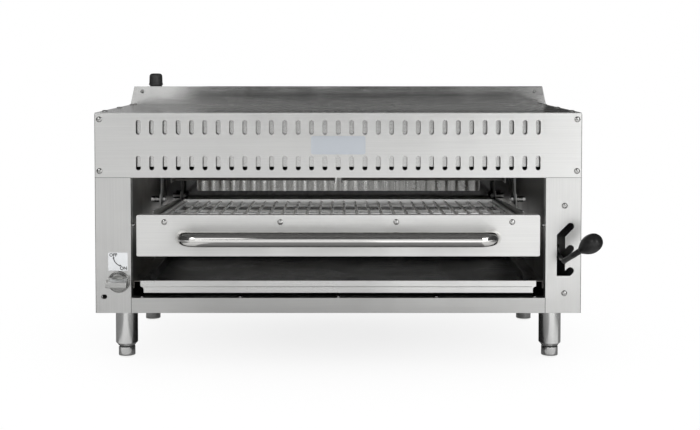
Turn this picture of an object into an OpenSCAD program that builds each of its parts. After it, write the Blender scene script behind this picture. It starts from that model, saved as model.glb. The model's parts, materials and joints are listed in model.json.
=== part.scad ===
// Gas infrared cheese melter: slotted steel body on four legs, with a lever-lifted
// pull-out rack over a drip pan.
// Millimetres, +X to the right, +Y to the back, +Z up.
// The origin is on the floor, under the centre of the body.

/* [Body] */
// Width of the body
body_w = 914; // [890:1:950]
// Depth of the body, front face to back face
body_d = 457; // [445:1:500]
// Height of the body above its legs
body_h = 378; // [372:1:400]
// Thickness of the outer sheet
sheet_t = 1.5; // [1.2:0.1:2]
// Thickness of the cavity liner
liner_t = 1.2; // [0.8:0.1:1.5]
// Width of each front post
post_w = 67; // [64:0.5:72]
// Height of the slotted front panel
header_h = 122; // [118:1:126]
// Height of the bottom rail
sill_h = 28.5; // [26:0.5:32]
// Depth of the folded edges
fold_d = 20; // [14:1:22]

/* [Slotted front] */
// Width of an air slot
slot_w = 9.2; // [6:0.1:12]
// Height of an air slot
slot_h = 27.5; // [20:0.5:32]
// Distance from slot to slot
slot_pitch = 25; // [20:0.5:30]
// Distance of each slot row from its edge of the panel
slot_row_inset = 27.4; // [22:0.1:32]
// Width of the blank badge
badge_w = 102; // [80:1:120]
// Height of the blank badge
badge_h = 34.5; // [28:0.5:40]

/* [Legs] */
// Height of the legs, feet included
leg_h = 102; // [90:1:120]
// Diameter of a leg
leg_d = 42.5; // [38:0.5:48]
// Diameter of a foot
foot_d = 32; // [26:0.5:36]
// Distance of a leg's centre from the side of the body
leg_inset_x = 44; // [40:0.5:60]
// Distance of a leg's centre from the front and the back of the body
leg_inset_y = 76; // [50:1:90]

/* [Rack] */
// Gap between the rack's front panel and each side of the opening
rack_gap = 10.5; // [8:0.5:20]
// Height of the rack's front panel
rack_h = 78; // [70:0.5:84]
// Height of the rack panel's lower edge above the floor of the body
rack_rise = 107.5; // [104:0.5:112]
// Diameter of a rod
rod_d = 6; // [5:0.1:7]
// Distance from rod to rod
rod_pitch = 25; // [20:0.5:30]
// Diameter of the towel-bar handle
handle_d = 28; // [22:0.5:32]
// Distance of the handle's end from the panel's end
handle_inset = 73.5; // [50:0.5:100]
// Distance of the handle's centre line from the panel
handle_reach = 36; // [32:0.5:44]
// Slope of the rods, down to the back
rack_slope = 2; // [1:0.1:2.4]

/* [Rack lift] */
// Length of a lift crank
crank_r = 85; // [80:1:90]
// Distance of the front lift shaft behind the front face
lift_depth = 35; // [33:0.5:38]
// Height of the lift shafts under the top
lift_drop = 112; // [110:0.5:114]
// Diameter of a lift shaft
shaft_d = 14; // [12:0.5:16]

/* [Lever] */
// Distance of the lever's pivot behind the front face
lever_arm = 100; // [97:0.5:103]
// Distance of the slot's channel from the opening
lever_inset = 29; // [27:0.5:31]
// Height of the middle notch above the floor of the body
notch_rise = 104.4; // [100:0.1:108]
// Distance from notch to notch
notch_pitch = 42; // [40:0.5:44]
// Width of the slot's channel
channel_w = 15.4; // [14.5:0.1:16]
// Width of a notch
notch_w = 13.6; // [13:0.1:14.5]
// Length of a notch from the middle of the channel
notch_l = 24.9; // [23:0.1:26]
// Diameter of the lever's rod
lever_d = 10; // [8:0.5:11]
// Diameter of the grip's bulb
grip_d = 34; // [30:0.5:38]

/* [Drip pan] */
// Gap between the pan and each side of the opening
pan_gap = 25; // [23:0.5:32]
// Gap between the pan and the rear liner
pan_back_gap = 28; // [20:1:60]
// Height of the pan's front lip
lip_h = 23; // [21:0.5:25]

/* [Gas] */
// Diameter of the inlet pipe
pipe_d = 26.7; // [21.3:0.1:27]
// Height of the inlet's cap above the top
cap_rise = 68; // [60:1:80]
// Distance of the inlet from the left side
inlet_inset = 50; // [45:0.5:55]
// Diameter of the control knob's bezel
bezel_d = 41; // [36:0.5:44]
// Height of the knob above the floor of the body
knob_rise = 59; // [54:0.5:66]

/* [Hidden] */
$fn = 48;

// Clearances
running_gap = 0.05;
hole_gap = 0.2;
slide_gap = 0.5;
rest_gap = 0.1;

// Planes of the body
half_w = body_w / 2;
front_y = -body_d / 2;
back_y = body_d / 2;
base_z = leg_h;
top_z = base_z + body_h;
header_z = top_z - header_h;
open_x = half_w - post_w;
behind_y = front_y + sheet_t;
inner_x = half_w - sheet_t;
inner_back_y = back_y - sheet_t;
inner_top_z = top_z - sheet_t;
sill_z = base_z + sill_h;
fold_y = behind_y + fold_d;
weld_y = front_y + sheet_t / 2;

// Cavity
flue_gap = 26;
liner_back_y = back_y - flue_gap;
roof_drop = 30;
roof_z = top_z - roof_drop;
cavity_floor_z = sill_z - sheet_t;
liner_base_z = base_z + sheet_t;

// Side flanges that the front and the top are screwed to
front_flange = 11;
top_flange = 15.5;
screw_edge = 9;
screw_row_inset = 12.5;
screw_hole_d = 4.4;
screw_d = screw_hole_d - 2 * hole_gap;
screw_head_d = 11;
screw_head_h = 2.5;
screw_dome_r = 9;
screw_l = 9;
top_screw_edge = 7.5;
post_screw_inset = 35.5;
post_screw_rise = 37.5;
post_screw_lift = 0.84;
top_screw_front_inset = 58.5;
top_screw_front_y = front_y + top_screw_front_inset;
top_screw_back_inset = 117.5;
top_screw_back_y = back_y - top_screw_back_inset;
top_screws_y = [top_screw_front_y, (top_screw_front_y + top_screw_back_y) / 2, top_screw_back_y];
rivet_d = 3.2;
floor_rivet_pitch = (open_x - 18.5) / 2;
floor_rivet_y = behind_y + 9;
rivet_head_d = 6.5;
rivet_head_h = 1.3;
rivet_dome_r = 5;

// Front slots
slot_margin = 75;
slot_side = floor((half_w - slot_margin) / slot_pitch);
slot_rows = [header_z + slot_row_inset, top_z - slot_row_inset];
baffle_gap = 7.5;
baffle_t = 1;
baffle_rise = 20;
baffle_side_gap = 5;
badge_t = 1.2;
badge_r = 4;
badge_z = (header_z + top_z) / 2;

// Vents of the back
vent_pitch = 50;
vent_side = floor((half_w - 50) / vent_pitch);
vent_z = base_z + 60;

// Flue
riser_inset = 100.5;
riser_y = back_y - riser_inset;
riser_h = 40;
riser_half_w = half_w - 1;
riser_slant = 8.5;
riser_fold = 12;
riser_rivet_inset = 27;
riser_rivet_z = top_z + riser_h - 11;
flue_side_gap = 100;
flue_half_w = open_x - flue_side_gap;
flue_y = riser_y + 22;
flue_d = 46;
flue_rise = 24;
flue_t = 1.2;

// Reflector on the rear liner
rib_r = 5;
rib_pitch = 22.9;
rib_side = floor((open_x - 71) / rib_pitch - 0.5) + 0.5;
reflector_t = 1;
reflector_rise = 151;
reflector_half_w = rib_pitch * rib_side + 15;
reflector_y = liner_back_y - reflector_t;

// Lift linkage, seen from the side as [y, z]
lift_z = top_z - lift_drop;
front_shaft_y = front_y + lift_depth;
front_pin_y = front_shaft_y + crank_r;
rear_pin_y = liner_back_y - 26;
rear_shaft_y = rear_pin_y - crank_r;
shaft_r = shaft_d / 2;
crank_t = 4;
crank_w = 20;
pin_r = 4;
link_t = 3;
link_w = 20;
rail_t = 2;
rail_x = open_x - 38.8;
link_x = rail_x - link_t;
crank_x = rail_x + 1;
bush_flange_t = 3;
bush_r = 10;
bush_flange_r = 14;
bush_in = 6;
outer_liner_x = open_x + liner_t;
shaft_end_x = outer_liner_x + 5;

// Rack: its rods lie in a plane that meets the front face at rack_rod_z
rack_w = 2 * (open_x - rack_gap);
rack_z = base_z + rack_rise;
rack_t = 2;
rack_r = 3;
rack_top_z = rack_z + rack_h;
rack_rod_z = rack_top_z - 13.2;
rack_back_y = liner_back_y - 35;
rod_r = rod_d / 2;
frame_t = 5;
frame_h = 12;
frame_x = rail_x - 3.2;
rack_fold = 12;
front_bar_h = 16;
front_bar_y = front_y + rack_t;
rod_side = floor((frame_x - frame_t - rod_r - 2) / rod_pitch - 0.5) + 0.5;
rack_screw_pitch = (rack_w / 2 - 52.5) / 3;
rack_screws_x = [rack_screw_pitch, 3 * rack_screw_pitch];
cross_rod_inset = 120;
cross_rod_front_y = front_y + cross_rod_inset;
cross_rod_back_y = rack_back_y - 24;
cross_rods_y = [cross_rod_front_y, (cross_rod_front_y + cross_rod_back_y) / 2, cross_rod_back_y];
rod_seat = 2.5;
rack_screw_l = rack_t + frame_t - rod_seat - slide_gap;

// Rails of the carriage
rail_front_y = front_y + 27;
rail_back_y = liner_back_y - 21;
ledge_w = 11;
ledge_drop = frame_h / 2 + rail_t + rest_gap;
rail_front_h = 26;
rail_back_h = 16;
front_bolt_z = rack_rod_z + 28.4;
rear_bolt_z = rack_rod_z - 0.6;
strap_over = 10;
bolt_r = 3;
bolt_head_r = 5.5;
bolt_head_h = 5;
spacer_r = 6;
spacer_l = 12.8;
tie_y = [front_pin_y + 30, rack_back_y - 16];
tie_r = 4;

// Lever, with its slot
lever_x = open_x + lever_inset;
lever_pivot_y = front_y + lever_arm;
notch_z = base_z + notch_rise;
slot_floor_z = notch_z - notch_pitch + 8;
channel_top_z = notch_z + notch_pitch + notch_w / 2 * sqrt(2) - channel_w / 2;
post_screws_z = [base_z + post_screw_rise, (channel_top_z + header_z) / 2 + post_screw_lift];
lever_r = lever_d / 2;
notch_slant = 45;
push_r = 35;
push_crank_x = shaft_end_x - 1;
pushrod_x = push_crank_x + crank_t + 1;
pushrod_t = 3;
pushrod_w = 16;
hub_arm_x = pushrod_x + pushrod_t + 1;
hub_end_x = lever_x + 12;
hub_r = 11.5;
stud_r = 6;
stud_collar_r = 9;
stud_collar_l = 3;
stud_flange_r = 14.4;
latch_ahead = 20;
latch_y = lever_pivot_y - latch_ahead;
latch_pin_r = 3;
eye_t = 8;
eye_r = 8;
ear_t = 3.5;
ear_gap = 0.25;
clevis_d = 10;
bend_out = 30;
bend_y = front_y - bend_out;
grip_offset = [42, -52, 43];
grip_r = grip_d / 2;
neck_r = 8.5;
neck_l = 45;
ferrule_r = 7.5;
ferrule_l = 10;
rod_in_grip = 22;

// Drip pan
pan_t = 1.2;
pan_rise = 38;
pan_z = base_z + pan_rise;
pan_h = 20;
pan_flange = 8;
pan_y = front_y + 3;
pan_w = 2 * (open_x - pan_gap);
pan_l = liner_back_y - pan_back_gap - pan_y;
lip_w = pan_w + 2 * pan_flange;
lip_notch_r = 6;
runner_t = 1.5;
runner_top_z = pan_z + pan_h - pan_t - slide_gap;
runner_in_x = pan_w / 2 + slide_gap + 1;
runner_inset = 25;
runner_l = pan_l - 20;
runner_web = 14;

// Burners
burner_side_gap = 65;
burner_mid_gap = 10;
burner_w = open_x - burner_side_gap - burner_mid_gap / 2;
burner_depth_gap = 217;
burner_d = body_d - burner_depth_gap;
burner_h = 42;
burner_x = (burner_w + burner_mid_gap) / 2;
burner_y = front_y + 63.5;
burner_wall = 2;
burner_z = lift_z - 16;
tile_cols = 3;
tile_rows = 3;
tile_t = 12;
tile_gap = 3;
mixer_r = 16;
mixer_bore_r = 13;
mixer_l = 140;
mixer_z = burner_z + burner_h + mixer_r - 4;
mixer_bore_l = 130;
port_depth = 110;
port_r = 10;
lug_t = 3;
lug_l = 30;
lug_inset = 20;
screen_drop = 8;
screen_r = 1.2;
screen_pitch = 16;

// Gas line
knob_x = -(open_x + 23);
knob_z = base_z + knob_rise;
valve_w = 36;
valve_d = 50;
valve_y = front_y + 15;
stem_r = 4;
stem_depth = 25;
stem_in_bar = 4;
manifold_r = 8;
manifold_x = knob_x - 8;
manifold_y = front_y + 48.5;
manifold_z = mixer_z;
manifold_over = 20;
injector_r = 5;
inlet_x = -(half_w - inlet_inset);
inlet_y = back_y - 58.5;
pipe_r = pipe_d / 2;
cap_r = 15.5;
cap_h = 26;
cap_z = top_z + cap_rise - cap_h;
bezel_t = 3;
bezel_y = front_y - bezel_t;
knob_r = 17.5;
knob_base_h = 7;
knob_bar_l = 39;
knob_bar_w = 14;
knob_bar_h = 20;
knob_bar_r = 4;
label_w = 36.7;
label_h = 34;
label_t = 0.3;
label_r = 1.5;
label_x = -(open_x + 24.5);
label_z = knob_z + 38.5;
sight_x = -(open_x + 51);
sight_z = base_z + 31;
sight_w = 11;
sight_h = 8.3;
pilot_r = 3;
pilot_x = frame_x - 15;
pilot_y = front_y + 78.5;
pilot_z = mixer_z + 22;

// Legs
leg_x = half_w - leg_inset_x;
leg_y = -front_y - leg_inset_y;
foot_h = 22;
foot_bevel = 2;
leg_base_z = 25;
leg_taper = 4;
stem_hole_r = 8;
leg_stud_r = 6;
leg_stud_l = 13;
foot_stem_h = 60;

// A sheet with the outline of its children, standing across the depth at y
module upright(y, t) {
    translate([0, y + t, 0]) rotate([90, 0, 0]) linear_extrude(t) children();
}

// A sheet with the outline of its children, lying at height z
module flat(z, t) {
    translate([0, 0, z]) linear_extrude(t) children();
}

// A box between two corners
module block(low, high) {
    translate(low) cube(high - low);
}

// A rectangle between two corners
module area(low, high) {
    translate(low) square(high - low);
}

// A rectangle with rounded corners about its centre
module rounded(w, h, r) {
    square([w - 2 * r, h], center = true);
    square([w, h - 2 * r], center = true);
    for (x = [-1, 1], y = [-1, 1]) translate([x * (w / 2 - r), y * (h / 2 - r)]) circle(r);
}

// A copy on each side of the body
module both_sides() {
    children();
    mirror([1, 0, 0]) children();
}

// A flat bar across X from one [y, z] point to another, with round ends
module side_bar(x, t, from, to, w) {
    run = norm(to - from);
    turn = atan2(to[1] - from[1], to[0] - from[0]);
    translate([x, from[0], from[1]]) rotate([turn, 0, 0]) {
        translate([0, 0, -w / 2]) cube([t, run, w]);
        for (y = [0, run]) translate([0, y, 0]) rotate([0, 90, 0]) cylinder(h = t, d = w);
    }
}

// A round bar along X
module bar_x(x, y, z, l, r) {
    translate([x, y, z]) rotate([0, 90, 0]) cylinder(h = l, r = r);
}

// A round bar along Y
module bar_y(x, y, z, l, r) {
    translate([x, y, z]) rotate([-90, 0, 0]) cylinder(h = l, r = r);
}

// A round bar from one point to another
module bar(from, to, r) {
    v = to - from;
    translate(from) rotate([0, acos(v[2] / norm(v)), atan2(v[1], v[0])]) cylinder(h = norm(v), r = r);
}

// Moves its children into the sloping plane of the rods
module on_slope() {
    translate([0, front_y, rack_rod_z]) rotate([-rack_slope, 0, 0]) children();
}

// Height of the rods' centres at depth y
function slope_z(y) = rack_rod_z - (y - front_y) * tan(rack_slope);

// Screw holes of the front, in X and Z
module front_screw_places() {
    for (x = [-1, 1], z = [header_z + screw_row_inset, top_z - screw_row_inset])
        translate([x * (half_w - screw_edge), z]) children();
}

// Screw holes of the right post, in X and Z
module post_screw_places() {
    for (z = post_screws_z) translate([open_x + post_screw_inset, z]) children();
}

// Screw holes of the top, in X and Y
module top_screw_places() {
    for (x = [-1, 1], y = top_screws_y) translate([x * (half_w - top_screw_edge), y]) children();
}

// Rivets of the bottom rail, in X and Y
module floor_rivet_places() {
    for (i = [-2 : 2]) translate([i * floor_rivet_pitch, floor_rivet_y]) children();
}

// Rivets of the flue riser, in X and Z
module riser_rivet_places() {
    for (x = [-1, 1]) translate([x * (half_w - riser_rivet_inset), riser_rivet_z]) children();
}

module air_slot() {
    square([slot_w, slot_h - slot_w], center = true);
    for (z = [-1, 1]) translate([0, z * (slot_h - slot_w) / 2]) circle(d = slot_w);
}

module front_panel() {
    color("silver") {
        upright(front_y, sheet_t) difference() {
            area([-half_w, header_z], [half_w, inner_top_z]);
            for (z = slot_rows, i = [-slot_side : slot_side]) translate([i * slot_pitch, z]) air_slot();
            front_screw_places() circle(d = screw_hole_d);
        }
        block([-open_x, weld_y, header_z], [open_x, fold_y, header_z + sheet_t]);
        top_fold_x = inner_x - top_flange - slide_gap;
        block([-top_fold_x, weld_y, inner_top_z - sheet_t], [top_fold_x, fold_y, inner_top_z]);
    }
}

module slot_baffle() {
    baffle_x = open_x - baffle_side_gap;
    baffle_y = behind_y + baffle_gap;
    baffle_top_z = inner_top_z - sheet_t;
    color("gray") {
        block([-baffle_x, baffle_y, header_z + baffle_rise], [baffle_x, baffle_y + baffle_t, baffle_top_z]);
        block([-baffle_x, baffle_y, baffle_top_z - baffle_t], [baffle_x, fold_y, baffle_top_z]);
    }
}

module name_plate() {
    color("lightsteelblue") upright(front_y - badge_t, badge_t)
        translate([0, badge_z]) rounded(badge_w, badge_h, badge_r);
}

module top_panel() {
    color("silver") flat(inner_top_z, sheet_t) difference() {
        area([-half_w, front_y], [half_w, back_y]);
        area([-flue_half_w - flue_t - slide_gap, flue_y - flue_t - slide_gap],
            [flue_half_w + flue_t + slide_gap, flue_y + flue_d + flue_t + slide_gap]);
        translate([inlet_x, inlet_y]) circle(r = pipe_r + slide_gap);
        top_screw_places() circle(d = screw_hole_d);
    }
}

module flue_riser() {
    color("silver") {
        upright(riser_y, sheet_t) difference() {
            polygon([
                [-riser_half_w, top_z],
                [riser_half_w, top_z],
                [riser_half_w - riser_slant, top_z + riser_h],
                [-riser_half_w + riser_slant, top_z + riser_h]
            ]);
            riser_rivet_places() circle(d = rivet_d + 2 * running_gap);
        }
        edge_x = riser_half_w - riser_slant;
        for (z = [top_z, top_z + riser_h - sheet_t])
            block([-edge_x, riser_y + sheet_t / 2, z], [edge_x, riser_y + sheet_t + riser_fold, z + sheet_t]);
    }
}

module flue_duct() {
    color("dimgray") flat(roof_z + liner_t, top_z + flue_rise - roof_z - liner_t) difference() {
        area([-flue_half_w - flue_t, flue_y - flue_t], [flue_half_w + flue_t, flue_y + flue_d + flue_t]);
        area([-flue_half_w, flue_y], [flue_half_w, flue_y + flue_d]);
    }
}

module side_panel() {
    difference() {
        union() {
            block([inner_x, behind_y, base_z], [half_w, inner_back_y, inner_top_z]);
            block([inner_x - front_flange, behind_y, liner_base_z],
                [half_w, behind_y + sheet_t, inner_top_z - 2 * sheet_t]);
            block([inner_x - top_flange, behind_y, inner_top_z - sheet_t],
                [half_w, inner_back_y, inner_top_z]);
        }
        upright(behind_y - 1, sheet_t + 2) front_screw_places() circle(d = screw_hole_d);
        flat(inner_top_z - sheet_t - 1, sheet_t + 2) top_screw_places() circle(d = screw_hole_d);
    }
}

module right_side_panel() {
    color("silver") side_panel();
}

module left_side_panel() {
    color("silver") mirror([1, 0, 0]) side_panel();
}

module back_panel() {
    color("silver") upright(inner_back_y, sheet_t) difference() {
        area([-half_w, base_z], [half_w, inner_top_z]);
        for (i = [-vent_side : vent_side]) translate([i * vent_pitch, vent_z]) air_slot();
    }
}

module base_panel() {
    color("gray") flat(base_z, sheet_t) difference() {
        area([-inner_x, behind_y], [inner_x, inner_back_y]);
        for (x = [-1, 1], y = [-1, 1]) translate([x * leg_x, y * leg_y]) circle(leg_stud_r + hole_gap);
    }
}

module post_plate() {
    area([open_x, base_z], [half_w, header_z]);
}

module post_fold() {
    block([open_x, weld_y, base_z + sheet_t], [open_x + sheet_t, fold_y, header_z]);
}

module left_post() {
    color("silver") {
        upright(front_y, sheet_t) difference() {
            mirror([1, 0]) post_plate();
            translate([knob_x, knob_z]) circle(stem_r + hole_gap);
            translate([sight_x, sight_z]) rounded(sight_w, sight_h, sight_h / 2 - 0.1);
        }
        mirror([1, 0, 0]) post_fold();
    }
}

// Outline of the lever's slot: a channel with three slanting notches and a flat floor
module lever_slot() {
    intersection() {
        union() {
            area([lever_x - channel_w / 2, slot_floor_z], [lever_x + channel_w / 2, channel_top_z]);
            for (k = [-1 : 1]) translate([lever_x, notch_z + k * notch_pitch]) rotate(notch_slant) {
                area([-channel_w, -notch_w / 2], [notch_l, notch_w / 2]);
                translate([notch_l, 0]) circle(d = notch_w);
            }
        }
        area([lever_x - channel_w / 2, slot_floor_z], [lever_x + 2 * notch_l, header_z]);
    }
}

module right_post() {
    color("silver") {
        upright(front_y, sheet_t) difference() {
            post_plate();
            lever_slot();
            post_screw_places() circle(d = screw_hole_d);
        }
        post_fold();
    }
}

module bottom_rail() {
    color("silver") {
        block([-open_x, front_y, base_z], [open_x, behind_y, sill_z]);
        flat(cavity_floor_z, sheet_t) difference() {
            area([-open_x, weld_y], [open_x, fold_y]);
            floor_rivet_places() circle(d = rivet_d + 2 * running_gap);
        }
    }
}

module floor_panel() {
    color("darkgray") flat(cavity_floor_z - liner_t, liner_t) difference() {
        area([-open_x, behind_y], [open_x, liner_back_y]);
        floor_rivet_places() circle(d = rivet_d + 2 * running_gap);
    }
}

// Side wall of the cavity, with seats for the two lift shafts' bushes
module side_liner() {
    difference() {
        block([open_x, fold_y, liner_base_z], [outer_liner_x, liner_back_y, roof_z]);
        for (y = [front_shaft_y, rear_shaft_y])
            bar_x(open_x - 1, y, lift_z, liner_t + 2, bush_r + running_gap);
    }
}

module right_liner() {
    color("darkgray") side_liner();
}

module left_liner() {
    color("darkgray") difference() {
        mirror([1, 0, 0]) side_liner();
        bar_x(-outer_liner_x - 1, manifold_y, manifold_z, liner_t + 2, manifold_r + hole_gap);
        bar_x(-outer_liner_x - 1, pilot_y, pilot_z, liner_t + 2, pilot_r + hole_gap);
    }
}

module rear_liner() {
    color("darkgray")
        block([-outer_liner_x, liner_back_y, liner_base_z], [outer_liner_x, liner_back_y + liner_t, roof_z]);
}

module rear_reflector() {
    reflector_z = base_z + reflector_rise + sill_h;
    color("silver") {
        block([-reflector_half_w, reflector_y, reflector_z], [reflector_half_w, liner_back_y, roof_z]);
        for (i = [-rib_side : rib_side]) intersection() {
            union() {
                translate([i * rib_pitch, reflector_y, reflector_z + rib_r])
                    cylinder(h = roof_z - reflector_z - rib_r, r = rib_r);
                translate([i * rib_pitch, reflector_y, reflector_z + rib_r]) sphere(rib_r);
            }
            block([-half_w, reflector_y - rib_r, reflector_z],
                [half_w, reflector_y + reflector_t / 2, roof_z]);
        }
    }
}

module cavity_roof() {
    color("darkgray") flat(roof_z, liner_t) difference() {
        area([-outer_liner_x, fold_y], [outer_liner_x, liner_back_y + liner_t]);
        area([-flue_half_w, flue_y], [flue_half_w, flue_y + flue_d]);
    }
}

// An infrared burner: an open-bottomed plenum with its mixing tube and four lugs
module burner() {
    low = [-burner_w / 2, burner_y, burner_z];
    high = [burner_w / 2, burner_y + burner_d, burner_z + burner_h];
    difference() {
        union() {
            block(low, high);
            bar_y(0, burner_y, mixer_z, mixer_l, mixer_r);
            for (x = [-1, 1], y = [burner_y + lug_inset, burner_y + burner_d - lug_inset - lug_l])
                translate([x * (burner_w / 2 - lug_inset) - lug_t / 2, y, burner_z + burner_h - 1])
                    cube([lug_t, lug_l, roof_z - burner_z - burner_h + 1]);
        }
        block([low[0] + burner_wall, low[1] + burner_wall, low[2] - 1],
            [high[0] - burner_wall, high[1] - burner_wall, high[2] - 2 * burner_wall]);
        bar_y(0, burner_y - 1, mixer_z, mixer_bore_l, mixer_bore_r);
        translate([0, burner_y + port_depth, burner_z + burner_h - 2 * burner_wall - 1])
            cylinder(h = mixer_z - burner_z - burner_h + 2 * burner_wall + 1, r = port_r);
    }
}

module burner_left() {
    color("dimgray") translate([-burner_x, 0, 0]) burner();
}

module burner_right() {
    color("dimgray") translate([burner_x, 0, 0]) burner();
}

module burner_tiles() {
    tile_w = (burner_w - 2 * burner_wall - (tile_cols + 1) * tile_gap) / tile_cols;
    tile_d = (burner_d - 2 * burner_wall - (tile_rows + 1) * tile_gap) / tile_rows;
    color("wheat") for (side = [-1, 1], i = [0 : tile_cols - 1], j = [0 : tile_rows - 1])
        translate([
            side * burner_x - burner_w / 2 + burner_wall + tile_gap + i * (tile_w + tile_gap),
            burner_y + burner_wall + tile_gap + j * (tile_d + tile_gap),
            burner_z
        ]) cube([tile_w, tile_d, tile_t]);
}

// Wire guards under the tiles, each a frame with cross wires
module burner_screens() {
    screen_z = burner_z - screen_drop;
    wire_l = burner_w - 2 * burner_wall;
    wires = floor((burner_d / 2 - 10) / screen_pitch);
    color("gray") for (side = [-1, 1]) translate([side * burner_x, 0, 0]) {
        for (j = [-wires : wires])
            bar_x(-wire_l / 2, burner_y + burner_d / 2 + j * screen_pitch, screen_z, wire_l, screen_r);
        for (x = [-1, 1]) translate([x * wire_l / 2 - 1, burner_y, screen_z - 3])
            cube([2, burner_d, burner_z - screen_z + 3]);
    }
}

module gas_manifold() {
    end_x = burner_x + manifold_over;
    color("gray") {
        translate([manifold_x, manifold_y, knob_z + valve_w / 2])
            cylinder(h = manifold_z - knob_z - valve_w / 2, r = manifold_r);
        translate([manifold_x, manifold_y, manifold_z]) sphere(manifold_r);
        bar_x(manifold_x, manifold_y, manifold_z, end_x - manifold_x, manifold_r);
        for (x = [-1, 1])
            bar_y(x * burner_x, manifold_y, manifold_z, burner_y - manifold_y - 2, injector_r);
    }
}

module gas_valve() {
    color("goldenrod") difference() {
        block([knob_x - valve_w / 2, valve_y, knob_z - valve_w / 2],
            [knob_x + valve_w / 2, valve_y + valve_d, knob_z + valve_w / 2]);
        bar_y(knob_x, valve_y - 1, knob_z, stem_depth + 1, stem_r + running_gap);
    }
}

module inlet_pipe() {
    color("dimgray") {
        translate([inlet_x, inlet_y, knob_z]) cylinder(h = cap_z + cap_h - 6 - knob_z, r = pipe_r);
        translate([inlet_x, inlet_y, knob_z]) sphere(pipe_r + 1);
        bar_y(inlet_x, valve_y + valve_d, knob_z, inlet_y - valve_y - valve_d, 8);
    }
}

module inlet_cap() {
    color("black") translate([inlet_x, inlet_y, cap_z]) difference() {
        union() {
            cylinder(h = cap_h - 5, r1 = cap_r, r2 = cap_r - 0.8);
            translate([0, 0, cap_h - 5]) cylinder(h = 5, r1 = cap_r - 0.8, r2 = cap_r - 4);
        }
        translate([0, 0, -1]) cylinder(h = cap_h - 5 + running_gap, r = pipe_r + running_gap);
    }
}

module pilot_tube() {
    color("gray") {
        translate([knob_x, pilot_y, knob_z + valve_w / 2])
            cylinder(h = pilot_z - knob_z - valve_w / 2, r = pilot_r);
        translate([knob_x, pilot_y, pilot_z]) sphere(pilot_r);
        bar_x(knob_x, pilot_y, pilot_z, -pilot_x - knob_x, pilot_r);
        translate([-pilot_x, pilot_y, pilot_z]) sphere(pilot_r);
        translate([-pilot_x, pilot_y, burner_z]) cylinder(h = pilot_z - burner_z, r = pilot_r);
    }
}

module knob_bezel() {
    color("silver") difference() {
        bar_y(knob_x, bezel_y, knob_z, bezel_t, bezel_d / 2);
        bar_y(knob_x, bezel_y - 1, knob_z, bezel_t + 2, stem_r + hole_gap);
    }
}

module gas_knob() {
    knob_y = bezel_y - slide_gap - knob_base_h;
    bar_front_y = knob_y - knob_bar_h;
    color("silver") difference() {
        union() {
            bar_y(knob_x, knob_y, knob_z, knob_base_h, knob_r);
            upright(bar_front_y, knob_bar_h) translate([knob_x, knob_z])
                rounded(knob_bar_l, knob_bar_w, knob_bar_r);
        }
        bar_y(knob_x, knob_y - stem_in_bar, knob_z, knob_base_h + stem_in_bar + 1, stem_r + running_gap);
    }
}

module valve_stem() {
    stem_y = bezel_y - slide_gap - knob_base_h - stem_in_bar + hole_gap;
    color("goldenrod") bar_y(knob_x, stem_y, knob_z, valve_y + stem_depth - 1 - stem_y, stem_r);
}

module control_label() {
    color("white") upright(front_y - label_t, label_t) translate([label_x, label_z])
        rounded(label_w, label_h, label_r);
}

module leg() {
    color("silver") difference() {
        union() {
            translate([0, 0, leg_base_z + leg_taper])
                cylinder(h = leg_h - leg_base_z - leg_taper, d = leg_d);
            translate([0, 0, leg_base_z]) cylinder(h = leg_taper, d1 = leg_d - 2 * leg_taper, d2 = leg_d);
            translate([0, 0, leg_h - 1]) cylinder(h = leg_stud_l + 1, r = leg_stud_r);
        }
        translate([0, 0, leg_base_z - 1]) cylinder(h = foot_stem_h + 2, r = stem_hole_r + running_gap);
    }
}

// A screw-in foot: a bevelled disc on a stem that runs up into the leg
module foot() {
    edge_d = foot_d - 2 * foot_bevel;
    color("dimgray") {
        cylinder(h = foot_bevel, d1 = edge_d, d2 = foot_d);
        translate([0, 0, foot_bevel]) cylinder(h = foot_h - 2 * foot_bevel, d = foot_d);
        translate([0, 0, foot_h - foot_bevel]) cylinder(h = foot_bevel, d1 = foot_d, d2 = edge_d);
        translate([0, 0, foot_h - 1]) cylinder(h = foot_stem_h, r = stem_hole_r);
    }
}

module leg_front_left() {
    translate([-leg_x, -leg_y, 0]) leg();
}

module leg_front_right() {
    translate([leg_x, -leg_y, 0]) leg();
}

module leg_back_left() {
    translate([-leg_x, leg_y, 0]) leg();
}

module leg_back_right() {
    translate([leg_x, leg_y, 0]) leg();
}

module foot_front_left() {
    translate([-leg_x, -leg_y, 0]) foot();
}

module foot_front_right() {
    translate([leg_x, -leg_y, 0]) foot();
}

module foot_back_left() {
    translate([-leg_x, leg_y, 0]) foot();
}

module foot_back_right() {
    translate([leg_x, leg_y, 0]) foot();
}

module shaft_bushes() {
    color("goldenrod") both_sides() for (y = [front_shaft_y, rear_shaft_y]) difference() {
        union() {
            bar_x(open_x - bush_in, y, lift_z, bush_in + liner_t + 1, bush_r);
            bar_x(outer_liner_x, y, lift_z, bush_flange_t, bush_flange_r);
        }
        bar_x(open_x - bush_in - 1, y, lift_z, bush_in + liner_t + bush_flange_t + 2, shaft_r + running_gap);
    }
}

module lever_stud() {
    collar_x = hub_end_x + slide_gap;
    stud_end_x = collar_x + stud_collar_l;
    color("gray") {
        bar_x(outer_liner_x, lever_pivot_y, notch_z, bush_flange_t, stud_flange_r);
        bar_x(outer_liner_x, lever_pivot_y, notch_z, hub_arm_x - slide_gap - outer_liner_x, stud_collar_r);
        bar_x(outer_liner_x, lever_pivot_y, notch_z, stud_end_x - outer_liner_x, stud_r);
        bar_x(collar_x, lever_pivot_y, notch_z, stud_collar_l, stud_collar_r);
    }
}

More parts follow.
